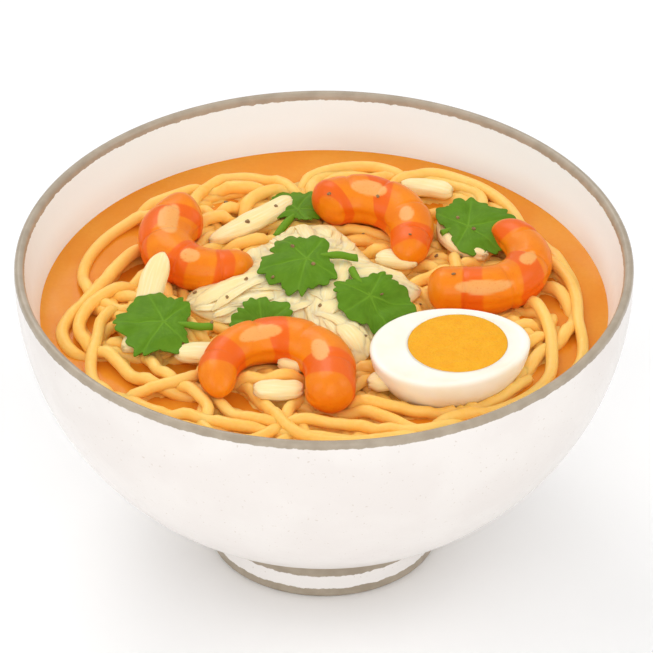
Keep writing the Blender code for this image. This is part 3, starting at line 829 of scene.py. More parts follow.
paths = list(loops)
for _ in range(MOST_STRANDS):
    if share_covered() > ENOUGH:
        break
    strand = next_strand()
    if len(strand) > SHORTEST:
        paths.append(smooth_path(strand[::3], CELL))
        mark(paths[-1], STRAND, strands_over)
    else:
        mark([strand[0]], STRAND, strands_over)
print(f"{len(paths)} strands, {sum(len(p) for p in paths) * CELL:.1f} m in all, cover {share_covered():.0%}")

# %% [markdown]
# ## Laying the strands
# Where two noodles cross, one lies on the other, and the lower one dips into the broth there. All
# heights are found together: every pair of points that lie over each other is pushed apart by half of
# what is missing, each strand is smoothed because a noodle is too stiff for a sharp bend, and nothing
# may pass through the toppings. After some dozens of rounds the strands weave. A rigid-body simulation
# would do the same in minutes.
# %% Weaving the strands
PUSH = 0.8  # share of what is missing that a round makes up
SPRING = 0.04  # share of the way back to rest


def under(path, half_width, half_height, roof):
    """How high a strand's middle may lie under a height map."""
    near_cells, distances = cells_round(path, half_width)
    arch = half_height * np.sqrt(np.maximum(0, 1 - (distances / half_width) ** 2))
    return [(roof[cells] - arch).min() for cells in near_cells]


def weave(strands, tops, roof, lowest, firmness=0.9, rounds=80):
    """Heights of strands that pass over and under each other, each given as (path, half width, half height).

    tops is the height map that lone strands reach up to, lowest and roof those that no middle sinks
    under and no strand rises over.
    """
    counts = [len(path) for path, _, _ in strands]
    owner = np.repeat(np.arange(len(strands)), counts)
    places = [p for path, _, _ in strands for p in path]
    wide, high = (np.array([s[part] for s in strands])[owner] for part in (1, 2))
    search = KDTree(len(places))
    for number, place in enumerate(places):
        search.insert((*place, 0), number)
    search.balance()
    pairs, needed = [], []
    for number, place in enumerate(places):
        for _, other, distance in search.find_range((*place, 0), wide[number] + wide.max()):
            apart = wide[number] + wide[other]
            same = owner[number] == owner[other] and other - number < 3 * apart / CELL
            if other > number and distance < apart and not same:
                pairs.append((number, other))
                arch = math.sqrt(1 - (distance / apart) ** 2)
                needed.append(firmness * (high[number] + high[other]) * arch)
    lower, upper = np.array(pairs).T
    cells = tuple(np.array([cell_of(*p) for p in places]).T)
    rest = tops[cells] - high
    limit = np.concatenate([under(*strand, roof) for strand in strands])
    ends = np.cumsum([0, *counts])
    before, after = np.arange(len(places)) - 1, np.arange(len(places)) + 1
    before[ends[:-1]], after[ends[1:] - 1] = ends[:-1], ends[1:] - 1
    heights = np.minimum(rest, limit)
    for turn in range(rounds):
        missing = np.maximum(0, np.array(needed) - (heights[upper] - heights[lower])) / 2
        up, down = np.zeros(len(places)), np.zeros(len(places))
        np.maximum.at(up, upper, missing)
        np.maximum.at(down, lower, missing)
        heights += PUSH * (up - down) + SPRING * (rest - heights)
        for _ in range(2 if turn < rounds - 5 else 1):
            heights = 0.25 * heights[before] + 0.5 * heights + 0.25 * heights[after]
        heights = np.maximum(np.minimum(heights, limit), lowest[cells])
    print(f"{len(pairs)} pairs of points, {missing.mean() * 2e6:.0f} micrometres short on average")
    return np.split(heights, ends[1:-1])


# %% Laying the noodles
CLEAR = 0.0002  # kept under the toppings
PILE = 0.0036  # how far strands may rise over the nest's surface
SHOWING = 0.0026  # how far a lone strand stands out of the broth
HALF_SUNK = 0.0012  # how far the lowest strands' middles lie under the broth's surface
END_DIP = 0.0028
END_RUN = 7  # points over which an end dips
FEWEST_POINTS = 8
THICKNESSES = (0.94, 1.07)  # of a strand, against the usual one

nest_tops = np.array([[nest_surface(Vector((x, y))) for y in span] for x in span])
ceiling = np.minimum(over_noodles - CLEAR, np.maximum(nest_tops, SOUP_LEVEL + 0.0012) + PILE)
rest_tops = np.maximum(nest_tops + 0.0005, SOUP_LEVEL + SHOWING)
deepest = np.minimum(SOUP_LEVEL - HALF_SUNK, ceiling - 2 * STRAND)
order = list(range(len(loops), len(paths)))
draws.shuffle(order)
order = [n for n in order if len(paths[n]) > FEWEST_POINTS] + list(range(len(loops)))
strands = [(paths[n], STRAND, STRAND) for n in order]
laid = []
for (path, *_), heights in zip(strands, weave(strands, rest_tops, ceiling, deepest)):
    count = len(path)
    thick = np.full(count, STRAND) * draws.uniform(*THICKNESSES)
    for number in range(count):
        from_end = min(number, count - 1 - number)
        if from_end < END_RUN:
            heights[number] -= END_DIP * (1 - smooth_step(from_end / END_RUN))
            thick[number] *= blend(0.72, 1.0, smooth_step(from_end / 2))
    laid.append([(Vector((*place, height)), radius) for place, height, radius in zip(path, heights, thick)])
print(f"highest strand reaches {max(p.z + r for strand in laid for p, r in strand) * 1000:.1f} mm")

# %% [markdown]
# ## Strands with Geometry Nodes
# A path becomes a strand by sweeping a small outline along it, which is what Curve to Mesh does. The
# same tree serves round noodles and flat, ribbed shreds of chicken: its inputs set the spacing of the
# rings, the sides, how flat the outline is, how many ribs it has and how uneven the strand is. The
# thickness at each point comes with the path. A bevelled curve object could sweep a circle too, but
# couldn't wander in thickness.
# %% Helpers for trees
def node_makers(tree):
    """Two functions: one adds a node and feeds its inputs by name or number, the other adds a Math node."""

    def make(kind, feeds=None, **properties):
        node = tree.nodes.new(kind)
        for name, value in properties.items():
            setattr(node, name, value)
        for key, value in (feeds or {}).items():
            socket = node.inputs[key]
            if isinstance(value, bpy.types.NodeSocket):
                tree.links.new(value, socket)
            else:
                socket.default_value = value
        return node

    def calculate(operation, *values):
        return make("ShaderNodeMath", dict(enumerate(values)), operation=operation).outputs[0]

    return make, calculate


def new_tree(name, inputs):
    """A geometry tree with named inputs: its node makers, what its inputs give, and the end of the tree.

    A number's default also says what kind of number it is.
    """
    tree = bpy.data.node_groups.new(name, "GeometryNodeTree")
    tree.interface.new_socket("Geometry", in_out="INPUT", socket_type="NodeSocketGeometry")
    for label, default in inputs.items():
        kind = "NodeSocketInt" if isinstance(default, int) else "NodeSocketFloat"
        tree.interface.new_socket(label, in_out="INPUT", socket_type=kind).default_value = default
    tree.interface.new_socket("Material", in_out="INPUT", socket_type="NodeSocketMaterial")
    tree.interface.new_socket("Geometry", in_out="OUTPUT", socket_type="NodeSocketGeometry")
    given = tree.nodes.new("NodeGroupInput").outputs
    make, calculate = node_makers(tree)

    def end_with(geometry):
        """Makes instances real, shades them smoothly and gives them the material."""
        real = make("GeometryNodeRealizeInstances", {"Geometry": geometry})
        soft = make("GeometryNodeSetShadeSmooth", {"Geometry": real.outputs[0]})
        coated = make("GeometryNodeSetMaterial", {"Geometry": soft.outputs[0], "Material": given["Material"]})
        tree.links.new(coated.outputs[0], tree.nodes.new("NodeGroupOutput").inputs[0])
        print(f"{name}: {len(tree.nodes)} nodes")

    return tree, make, calculate, given, end_with


def stored(add, geometry, name, value, kind):
    """Geometry that carries a value at each point."""
    feeds = {"Geometry": geometry.outputs[0], "Name": name, "Value": value}
    return add("GeometryNodeStoreNamedAttribute", feeds, data_type=kind, domain="POINT")


print("tree helpers ready")

# %% Tree that sweeps strands
sweep, add, calculate, given, end_with = new_tree(
    "sweep_strands",
    {
        "Spacing": 0.002, "Sides": 12, "Flatness": 1.0, "Ribs": 0.0, "Rib Depth": 0.0,
        "Unevenness": 0.1, "Lump Size": 0.02,
    },
)  # fmt: skip
curve = add("GeometryNodeMeshToCurve", {"Mesh": given["Geometry"]})
spaced = {"Curve": curve.outputs[0], "Length": given["Spacing"]}
evened = add("GeometryNodeResampleCurve", spaced, mode="LENGTH")
upright = add("GeometryNodeSetCurveNormal", {"Curve": evened.outputs[0]}, mode="Z_UP")
run = add("GeometryNodeSplineParameter")
measured = stored(add, upright, "along", run.outputs["Length"], "FLOAT")
circle = add("GeometryNodeCurvePrimitiveCircle", {"Resolution": given["Sides"], "Radius": 1.0})
spot = add("GeometryNodeInputPosition")
rounded_off = stored(add, circle, "around", spot.outputs[0], "FLOAT_VECTOR")
parts = add("ShaderNodeSeparateXYZ", {0: spot.outputs[0]}).outputs
ribs = calculate("MULTIPLY", calculate("ARCTAN2", parts["Y"], parts["X"]), given["Ribs"])
swell = calculate("MULTIPLY_ADD", calculate("COSINE", ribs), given["Rib Depth"], 1.0)
flat = calculate("MULTIPLY", parts["Y"], given["Flatness"])
pressed = add("ShaderNodeCombineXYZ", {"X": parts["X"], "Y": flat})
ribbed = add("ShaderNodeVectorMath", {0: pressed.outputs[0], "Scale": swell}, operation="SCALE")
profile = add("GeometryNodeSetPosition", {"Geometry": rounded_off.outputs[0], "Position": ribbed.outputs[0]})
thickness = add("GeometryNodeInputNamedAttribute", {"Name": "thick"}, data_type="FLOAT")
per_lump = calculate("DIVIDE", 1.0, given["Lump Size"])
lumps = add("ShaderNodeTexNoise", {"Scale": per_lump, "Detail": 2.0})
uneven = calculate("MULTIPLY_ADD", calculate("SUBTRACT", lumps.outputs[0], 0.5), given["Unevenness"], 1.0)
scale = calculate("MULTIPLY", thickness.outputs[0], uneven)
curves = {"Curve": measured.outputs[0], "Profile Curve": profile.outputs[0]}
end_with(add("GeometryNodeCurveToMesh", {**curves, "Scale": scale, "Fill Caps": True}).outputs[0])


# %% Running a tree
def made_by(tree, name, base, **inputs):
    """Runs a tree on a mesh and gives back the result as a plain mesh object with outward faces."""
    holder = shown(name + "_paths", base)
    modifier = holder.modifiers.new(tree.name, "NODES")
    modifier.node_group = tree
    for socket in tree.interface.items_tree:
        if socket.in_out == "INPUT" and socket.name.replace(" ", "_") in inputs:
            modifier[socket.identifier] = inputs[socket.name.replace(" ", "_")]
    bpy.context.view_layer.update()
    mesh = bpy.data.meshes.new_from_object(holder.evaluated_get(bpy.context.evaluated_depsgraph_get()))
    mesh.name = name
    bpy.data.objects.remove(holder)
    turn_outwards(mesh)
    return shown(name, mesh)


def path_mesh(name, strands):
    """Edges along each strand, with the thickness at each point."""
    points, edges, thick = [], [], []
    for strand in strands:
        edges += [(len(points) + n, len(points) + n + 1) for n in range(len(strand) - 1)]
        points += [tuple(p) for p, _ in strand]
        thick += [t for _, t in strand]
    mesh = bpy.data.meshes.new(name)
    mesh.from_pydata(points, edges, [])
    layer = mesh.attributes.new("thick", "FLOAT", "POINT")
    layer.data.foreach_set("value", thick)
    print(f"{name}: {len(points)} points")
    return mesh


# %% [markdown]
# ## The noodles
# Thick rice noodles are pale gold from the broth that they soaked up, slightly translucent and moist.
# Colour drifts slowly along the nest, and a middling roughness gives a soft shine without hard glints.
# They stand over a smaller core, which closes the view between the strands and dips under the broth in
# the gaps.
# %% Noodles
CORE_SHOWS = 0.0004  # how far the core stands out of the broth, but not in the gaps
CORE_SINKS = 0.0015  # how far it lies under the broth there
CORE_RIPPLE = 0.0005
CORE_REACH = 0.95  # share of the nest's reach
CORE_DEPTH = 0.028
CORE_RINGS, CORE_STEPS = 58, 220

noodle_finish, tree, shader = finish(
    "noodle", 0.40, (0.0018, 0.0011, 0.0006), Specular_IOR_Level=0.35, Subsurface_Weight=0.3
)
drift = steps(tree, plain_noise(tree, 60, 4), 0.3, 0.7)
streak = steps(tree, plain_noise(tree, 600, 2), 0.35, 0.7)
gold = mixed(tree, drift, "FFC156", "FFCD6B")
strength = arithmetic(tree, "MULTIPLY", streak, 0.3)
coloured(tree, shader, mixed(tree, strength, gold, "FFD27A"))
relief(tree, shader, plain_noise(tree, 350, 3), 0.0001)

tangle = made_by(
    sweep, "noodles_tangle", path_mesh("noodle_paths", laid),
    Spacing=0.002, Sides=12, Unevenness=0.12, Material=noodle_finish,
)  # fmt: skip

rings = []
for number in range(1, CORE_RINGS + 1):
    share = CORE_REACH * number / CORE_RINGS
    ring = []
    for angle, x, y in circle_points(CORE_STEPS):
        place = Vector((x, y)) * nest_reach(angle) * share
        out = smooth_step((gap_share(place.x, place.y) - 0.9) / 0.3) * smooth_step((0.94 - share) / 0.04)
        ripple = CORE_RIPPLE * noise.noise(Vector((*place, 0)) * 240)
        ring.append(Vector((*place, SOUP_LEVEL + blend(-CORE_SINKS, CORE_SHOWS + ripple, out))))
    rings.append(ring)
for share in (0.9, 0.6, 0.3):  # the rounded underside
    level = NEST_EDGE - CORE_DEPTH * math.sqrt(1 - share * share)
    rings.append([Vector((p.x * share, p.y * share, level)) for p in rings[CORE_RINGS - 1]])
tips = [Vector((0, 0, SOUP_LEVEL + CORE_SHOWS)), Vector((0, 0, NEST_EDGE - CORE_DEPTH))]
core = ring_skin("noodle_core", rings, tips, noodle_finish)
serve(joined("noodle_nest", [tangle, core], noodle_finish), "noodle", "noodles")

# %% [markdown]
# ## The chicken
# Poached breast pulls apart along its fibres, so the heap is made of flat, ribbed shreds. They are laid
# over a smaller core of the same colour, out along the heap's tongues, until the heap is covered, and
# they weave as the noodles do. The solid's smooth mound couldn't show the fibres, and a displaced mound
# would look like icing. The finish reads where each point lies along and around its shred, so that the
# fibres follow every bend.
# %% Chicken finish
chicken_finish, tree, shader = finish(
    "chicken", 0.50, (0.0014, 0.0010, 0.0006), Specular_IOR_Level=0.3, Subsurface_Weight=0.3
)
fibre = grain_noise(tree, 4.5, 110, 4)
blush = steps(tree, plain_noise(tree, 90, 4), 0.35, 0.7)
cream = mixed(tree, blush, "FFE5A8", "FFE09C")
coloured(tree, shader, mixed(tree, steps(tree, fibre, 0.42, 0.75), cream, "FFEEC0"))
relief(tree, shader, fibre, 0.0002)

# %% Shred sizes
SHRED_FLATNESS = 0.24
SHRED_WIDTHS = (0.0018, 0.0038)  # least and greatest half width
SHRED_LENGTHS = (0.018, 0.042)
SHRED_BOW = 14  # 1 over the sharpest bend's radius
SHRED_LIMIT = 0.955  # share of the heap's reach that has to be covered
SHRED_EDGE = 1.0  # share of it that shreds keep inside
SHREDS_UNDER = 3  # cells that they reach under the edge of a topping
SHRED_PILE = 0.0012  # how far shreds may rise over the heap's surface, or sink under it
SHRED_SINK = 0.0014
SHRED_TRIES, TOP_TRIES = 260, 190  # the tries after the second number lay shreds anywhere on top
SHORTEST_SHRED = 8  # points
SHRED_END = 0.005  # a shred tapers over this length
SHRED_DIP = 0.0007  # how far its ends dip

heap_shares = np.array([[heap_share(Vector((x, y))) for y in span] for x in span])
heap_tops = np.array([[heap_surface(Vector((x, y))) for y in span] for x in span])
heap_open = (heap_shares < SHRED_LIMIT) & ~widened(over_chicken < 1, -SHREDS_UNDER)
shreds_over = np.zeros((CELLS, CELLS))
print(f"{heap_open.sum() * CELL * CELL * 1e4:.0f} square cm of the heap want shreds")


# %% Shreds of the heap
def shred_path(start, heading, length, half_width):
    """A gently bowed path through a place, kept inside the heap's outline."""
    bow = draws.uniform(-SHRED_BOW, SHRED_BOW)
    halves = []
    for way in (-1, 1):
        place, angle, half = start.copy(), heading, []
        for _ in range(int(length / 2 / CELL)):
            angle += bow * CELL * way
            place = place + Vector((math.cos(angle), math.sin(angle))) * CELL * way
            if heap_share(place) > SHRED_EDGE - half_width / 0.05:
                break
            half.append(place)
        halves.append(half)
    return [*reversed(halves[0]), start, *halves[1]]


shreds = []
for number in range(SHRED_TRIES):
    bare = heap_open & (shreds_over == 0)
    if number > TOP_TRIES:
        bare = heap_open & (heap_shares < 0.8)
    elif not bare.any():
        continue
    i, j = draws.choice(np.argwhere(bare).tolist())
    start = Vector((span[i], span[j]))
    outward = start - HEAP_CENTRE
    heading = math.atan2(outward.y, outward.x) + draws.gauss(0, 0.35 if heap_shares[i, j] > 0.45 else 1.0)
    half_width = draws.uniform(*SHRED_WIDTHS)
    path = shred_path(start, heading, draws.uniform(*SHRED_LENGTHS), half_width)
    if len(path) > SHORTEST_SHRED and (number <= TOP_TRIES or number % 3 == 0):
        shreds.append((path, half_width, half_width * SHRED_FLATNESS))
        mark(path, half_width, shreds_over)
    else:
        shreds_over[i, j] += 1

laid = []
shred_roof = np.minimum(over_chicken - CLEAR, heap_tops + SHRED_PILE)
heights_of = weave(shreds, heap_tops, shred_roof, heap_tops - SHRED_SINK)
for (path, half_width, _), heights in zip(shreds, heights_of):
    strand = []
    for number, (spot, height) in enumerate(zip(path, heights)):
        from_end = min(number, len(path) - 1 - number) * CELL
        taper = blend(0.25, 1.0, smooth_step(from_end / SHRED_END) ** 0.6)
        strand.append((Vector((*spot, height - SHRED_DIP * (1 - taper))), half_width * taper))
    laid.append(strand)
heap_shreds = made_by(
    sweep, "chicken_shreds", path_mesh("shred_paths", laid),
    Spacing=0.0013, Sides=22, Flatness=SHRED_FLATNESS, Ribs=6.0, Rib_Depth=0.06,
    Unevenness=0.7, Lump_Size=0.006, Material=chicken_finish,
)  # fmt: skip
print(f"{len(shreds)} shreds cover {(heap_open & (shreds_over > 0)).sum() / heap_open.sum():.0%} of the heap")

# %% Core of the heap
HEAP_CORE_SINK = 0.0010  # how far the core lies under the heap's surface
HEAP_CORE_CLEAR = 0.0004  # and under the toppings on it
HEAP_RINGS, HEAP_STEPS = 14, 96

rings = []
for number in range(1, HEAP_RINGS + 1):
    ring = []
    for angle, x, y in circle_points(HEAP_STEPS):
        place = HEAP_CENTRE + Vector((x, y)) * heap_reach(angle) * CORE_REACH * number / HEAP_RINGS
        roof = over_chicken[cell_of(*place)] - HEAP_CORE_CLEAR
        ring.append(Vector((*place, min(heap_surface(place) - HEAP_CORE_SINK, roof))))
    rings.append(ring)
for share in (0.97, 0.6, 0.2):  # the underside
    rings.append([Vector((*HEAP_CENTRE.lerp(p.xy, share), p.z - 0.002)) for p in rings[HEAP_RINGS - 1]])
tips = [Vector((*HEAP_CENTRE, level)) for level in (summit - HEAP_CORE_SINK, NEST_EDGE + 0.003)]
heap_core = ring_skin("chicken_core", rings, tips, chicken_finish)
heap = joined("chicken_heap_shreds", [heap_shreds, heap_core], chicken_finish)
serve(heap, "chicken", "chicken_heap")

# %% [markdown]
# ## Single strips
# Ten thicker strips lie apart from the heap or at its edge. Each is a loft along its own line, as the
# solid is, but with many more rings: grooves run its whole length where fibres part, its girth swells
# and narrows, and its ends are torn and not cut.
# %% Strip sizes
SINK = 0.0028  # how far prawns lie in the noodles
STRIP_SINK = 0.4 * SINK
STRIP_THICKNESS = 0.0048
STRIP_RINGS, STRIP_SIDES = 46, 44
STRIP_END = 0.0030  # a strip rounds off over this length
SQUARENESS = 2.4  # 2 gives an ellipse, and more gives a squarer slice
GROOVE = 0.055
RAGGED = 0.0011
STRIPS = [
    # the two ends, then the sideways bow and the width, all in mm, the share of the width left at each end,
    # and in mm the lift of the first end
    ((-37.0, 31.8), (-11.0, 56.0), -1.2, 8.6, 0.25, 0.75, 0.0),
    ((25.5, 65.5), (41.5, 62.5), 0.4, 7.2, 0.75, 0.90, 0.0),
    ((17.2, 21.2), (29.8, 19.2), 0.5, 8.4, 0.70, 0.55, 0.0),
    ((-22.2, -50.8), (-7.0, -51.2), -0.4, 8.6, 0.75, 0.80, 0.0),
    ((-47.5, -30.5), (-32.0, -31.5), 0.3, 9.0, 0.55, 0.85, 0.0),
    ((-52.0, 7.6), (-57.5, -8.5), -0.8, 8.8, 0.45, 0.90, 11.5),
    ((39.5, 45.5), (52.0, 23.5), -4.4, 7.8, 0.60, 0.70, 0.0),
    ((-64.5, -26.5), (-50.0, -19.0), 1.0, 7.5, 0.70, 0.80, 0.0),
    ((14.5, -47.8), (25.5, -45.0), 0.0, 8.6, 0.75, 0.80, 0.0),
    ((-14.4, -37.0), (-6.6, -39.6), 0.0, 5.2, 0.70, 0.80, 0.0),
]  # fmt: skip
print(len(STRIPS), "strips, the widest", max(strip[3] for strip in STRIPS), "mm wide")


# %% Strips of chicken
def fibres(across, along, seed):
    """Grooves that run along a strip: broad ones and fine ones."""
    broad = noise.noise(Vector((across * 5.5, along * 0.9, seed)))
    return broad + 0.5 * noise.noise(Vector((across * 13, along * 1.6, seed)))


def chicken_strip(name, strip, seed):
    """A loft along a bowed line, with torn ends."""
    start, end = (Vector(p) * 0.001 for p in strip[:2])
    bow, width, lean = strip[2] / 1000, strip[3] / 1000, strip[6] / 1000
    start_share, end_share = strip[4:6]
    run = end - start
    side = Vector((-run.y, run.x)).normalized()
    ahead = Vector((*run.normalized(), 0))
    rings = []
    for number in range(STRIP_RINGS):
        share = number / (STRIP_RINGS - 1)
        from_end = min(share, 1 - share) * run.length
        close = math.sqrt(1 - (1 - min(1.0, from_end / STRIP_END + 0.12)) ** 2)
        place = start + run * share + side * bow * 4 * share * (1 - share)
        fullness = blend(blend(start_share, end_share, share), 1.0, math.sin(math.pi * share) ** 0.7) * close
        level = nest_surface(place) + STRIP_THICKNESS / 2 - STRIP_SINK + lean * (1 - share)
        thickness = STRIP_THICKNESS * blend(0.5, 1.0, fullness) * close**0.4
        tear = ahead * RAGGED * (1 - close) * (-1 if share < 0.5 else 1)
        ring = []
        for _, c, s in circle_points(STRIP_SIDES):
            square = (abs(c) ** SQUARENESS + abs(s) ** SQUARENESS) ** (-1 / SQUARENESS)
            groove = 1 + GROOVE * fibres(s * 1.4 + c, share * run.length * 160, seed)
            bulge = 1 + 0.10 * noise.noise(Vector((c, s, share * run.length * 190 + seed)))
            size = square * groove * bulge
            flat = place + side * width / 2 * fullness * c * size
            spot = Vector((*flat, level + thickness / 2 * s * size))
            ring.append(spot + tear * (0.5 + fibres(c * 1.5, s * 1.5, seed + 3)))
        rings.append(ring)
    tips = [sum(ring, Vector()) / STRIP_SIDES for ring in (rings[0], rings[-1])]
    piece = ring_skin(name, rings, tips, chicken_finish)
    slice_places = [(1.6 * c, 1.6 * s, seed) for _, c, s in circle_points(STRIP_SIDES)]
    paint(piece, "around", [(0, 0, 0), *slice_places * STRIP_RINGS, (0, 0, 0)])
    lengths = [run.length * number / (STRIP_RINGS - 1) for number in range(STRIP_RINGS)]
    paint(piece, "along", [0.0, *np.repeat(lengths, STRIP_SIDES), run.length])
    return piece


for number, strip in enumerate(STRIPS, 1):
    piece = chicken_strip(f"torn_chicken_{number}", strip, 7.3 * number)
    serve(piece, "chicken", f"chicken_strip_{number}")

# %% [markdown]
# ## The prawns
# A peeled, boiled prawn curls up, because the muscle under its back is longer than its belly. Its body
# is five overlapping rings of muscle, and the pigment shows as red-orange bands across orange flesh.
# Pale ovals on the upper crest are a painted highlight, on flesh that is a little pale there too. The
# body is a loft along the curl. The bands could come from a texture, but then they'd have to be
# stretched round the curl, so they're stored at the points as the loft is made.
# %% Prawn finish
prawn_finish, tree, shader = finish(
    "prawn", 0.34, (0.004, 0.0015, 0.0006), Specular_IOR_Level=0.2, Subsurface_Weight=0.15,
    Coat_Weight=0.08, Coat_Roughness=0.12,
)  # fmt: skip
flesh = mixed(tree, steps(tree, plain_noise(tree, 130, 5), 0.3, 0.7), "EE7F0C", "F58B10")
banded = mixed(tree, attribute(tree, "band"), flesh, "ED670E")
# Pale ovals on the upward crest: a painted highlight, on flesh that is a little pale there too.
pale_highlight = mixed(tree, attribute(tree, "pale_highlight"), banded, "F2A95C")
freckles = arithmetic(tree, "MULTIPLY", steps(tree, plain_noise(tree, 1500, 2), 0.6, 0.72), 0.35)
coloured(tree, shader, mixed(tree, freckles, pale_highlight, "E65A06"))
relief(tree, shader, plain_noise(tree, 500, 4), 0.00012)

# %% Prawn sizes
PRAWN_SEGMENTS = 5
PRAWN_RINGS = 168
PRAWN_SIDES = 84
PRAWN_WIDTH = 0.84  # against its depth
TAIL_GIRTH = 0.68  # against the head's
PRAWN_ROUGH = 0.022
BAND_EDGE = 0.006
BAND_DRIFT = 0.012
PRAWNS = [  # centre and radius of the curl, its arc from head to tail, straight ends, depth, swell, rise
    ((-0.0354, 0.0267), 0.0154, (116, 296), (0.0020, 0.0060), 0.0182, 0.16, (0, 0.02)),
    ((0.0108, 0.0318), 0.0170, (132, -6), (0.0008, 0.0130), 0.0166, 0.24, (-0.02, 0.04)),
    ((0.0500, 0.0186), 0.0158, (-92, 72), (0.0162, 0.0005), 0.0158, 0.28, (-0.02, 0.06)),
    ((-0.0160, -0.0470), 0.0175, (-2, 182), (0.0150, 0.0100), 0.0164, 0.24, (0, 0.03)),
]
BANDS = [  # share of the way from head to tail, width, and shift of each band from the top down to the belly
    [(0.235, 0.15, -0.20), (0.605, 0.10, 0.0), (0.825, 0.085, 0.02)],
    [(0.065, 0.10, 0.10), (0.395, 0.15, 0.15), (0.84, 0.15, 0.02)],
    [(0.235, 0.10, 0.0), (0.535, 0.12, 0.06), (0.89, 0.14, 0.06)],
    [(0.17, 0.15, 0.04), (0.525, 0.11, -0.06), (0.80, 0.13, 0.0)],
]
PALE_HIGHLIGHTS = [  # painted highlights, pale ovals on the upper crest: share of the way, degrees round the body from the back, length and width
    [(0.32, 92, 0.30, 45), (0.645, 65, 0.10, 40)],
    [(0.33, 104, 0.25, 42), (0.69, 98, 0.13, 38)],
    [(0.275, 41, 0.26, 33), (0.55, 74, 0.12, 36)],
    [(0.60, 110, 0.22, 42), (0.245, 106, 0.15, 40)],
]
print(f"{len(PRAWNS)} prawns with {sum(len(bands) for bands in BANDS)} bands")


# %% Form of a prawn
def prawn_path(centre, curl, arc, legs, share):
    """Place, and way outwards from the curl, at a share of the way from head to tail."""
    start, end = (math.radians(a) for a in arc)
    turn = 1 if end > start else -1
    arc_length = curl * abs(end - start)
    run = share * (legs[0] + arc_length + legs[1])
    on_arc = min(max(run - legs[0], 0.0), arc_length)
    past = run - legs[0] - on_arc
    angle = start + turn * on_arc / curl
    ahead = Vector((-math.sin(angle), math.cos(angle))) * turn
    outward = Vector((math.cos(angle), math.sin(angle)))
    return Vector(centre) + outward * curl + ahead * past, outward


def prawn_girth(share, back, swell):
    """Girth against the head's. Each ring of muscle bulges, and laps over the next one on the back."""
    body = blend(1.0, TAIL_GIRTH, share) * (1 + swell * math.sin(math.pi * share))
    head_end = math.sqrt(1 - max(0.0, 1 - share / 0.10) ** 2.2)
    tail_end = math.sqrt(1 - max(0.0, 1 - (1 - share) / 0.13) ** 2)
    within = (share * PRAWN_SEGMENTS) % 1
    lap = 0.045 * (1 - within) + 0.030 * math.sin(math.pi * within)
    seam = 0.050 * math.exp(-((min(within, 1 - within) / 0.055) ** 2))
    return body * (1 + (lap - seam) * smooth_step(0.65 + back)) * head_end * tail_end


def near(value, middle, width, edge):
    """1 within a width round a middle, falling to 0 over an edge."""
    return smooth_step((width / 2 + edge - abs(value - middle)) / (2 * edge))


def painted_highlight_share(share, round_back, pale_highlights):
    """1 in the middle of a painted highlight, a pale oval on the crest, falling to 0 at its oval edge."""
    reaches = [
        math.hypot((share - middle) / (length / 2), (round_back - turn) / (width / 2))
        for middle, turn, length, width in pale_highlights
    ]
    return smooth_step(6 * (1.05 - min(reaches)))


print(f"girth in the middle of a prawn: {prawn_girth(0.5, 0.0, 0.2):.2f} of its head's")


# %% Prawns
def make_prawn(name, prawn, bands, pale_highlights, seed):
    """A loft from head to tail. The ring's angle starts at the back and turns over the top."""
    centre, curl, arc, legs, depth, swell, rise = prawn
    half_depth, half_width = depth / 2, PRAWN_WIDTH / 2 * depth
    lowest = nest_surface(Vector(centre)) + half_width - SINK
    rings, band, pale_highlight = [], [], []
    for number in range(PRAWN_RINGS):
        share = blend(0.004, 0.996, number / (PRAWN_RINGS - 1))
        place, outward = prawn_path(centre, curl, arc, legs, share)
        level = lowest + Vector(rise).dot(place - Vector(centre))
        ring = []
        for angle, back, up in circle_points(PRAWN_SIDES):
            girth = prawn_girth(share, back, swell)
            height = back if back > 0 else back * (0.92 - 0.10 * math.exp(-((up / 0.25) ** 2)))
            height -= 0.035 * math.exp(-((up / 0.09) ** 2)) * (back > 0) * near(share, 0.42, 0.6, 0.1)
            rough = 1 + PRAWN_ROUGH * noise.noise(Vector((back * 1.5, up * 1.5, share * 11 + seed)))
            spot = place + outward * half_depth * girth * height * rough
            ring.append(Vector((*spot, level + half_width * girth * up * (1 + 0.10 * back) * rough)))
            drift = BAND_DRIFT * noise.noise(Vector((back * 1.2, up * 1.2, share * 6 + seed)))
            turned_by = (math.degrees(angle) + 180) % 360 - 180
            down = (abs(turned_by) - 90) / 90
            shifted = share + drift
            cover = [near(shifted - shift * down, at, width, BAND_EDGE) for at, width, shift in bands]
            band.append(max(cover))
            pale_highlight.append(painted_highlight_share(shifted, turned_by + 50 * drift, pale_highlights))
        rings.append(ring)
    tips = [sum(ring, Vector()) / PRAWN_SIDES for ring in (rings[0], rings[-1])]
    piece = ring_skin(name, rings, tips, prawn_finish)
    paint(piece, "band", [0.0, *band, 0.0])
    paint(piece, "pale_highlight", [0.0, *pale_highlight, 0.0])
    return piece


for number, (prawn, bands, pale_highlights) in enumerate(zip(PRAWNS, BANDS, PALE_HIGHLIGHTS), 1):
    piece = make_prawn(f"curled_prawn_{number}", prawn, bands, pale_highlights, 3.7 * number)
    serve(piece, "prawn", f"prawn_{number}")

# %% [markdown]
# ## Half an egg
# The white is firm and glossy, with a cut face that is flat but for a soft edge, and the yolk is matt
# and a little crumbly. Both are built ring by ring. The white's rings keep the egg's outline and shrink
# towards its lowest point, then they cross the cut face to the yolk's round edge and line its hollow.
# The yolk's rings are round.
# %% Egg finishes
white_finish, tree, shader = finish(
    "egg_white", 0.28, (0.004, 0.0035, 0.003), Specular_IOR_Level=0.4, Subsurface_Weight=0.3
)
tint = steps(tree, plain_noise(tree, 70, 3), 0.35, 0.7)
coloured(tree, shader, mixed(tree, tint, "FFF8E8", "FEF2DC"))
relief(tree, shader, plain_noise(tree, 160, 2), 0.00012)

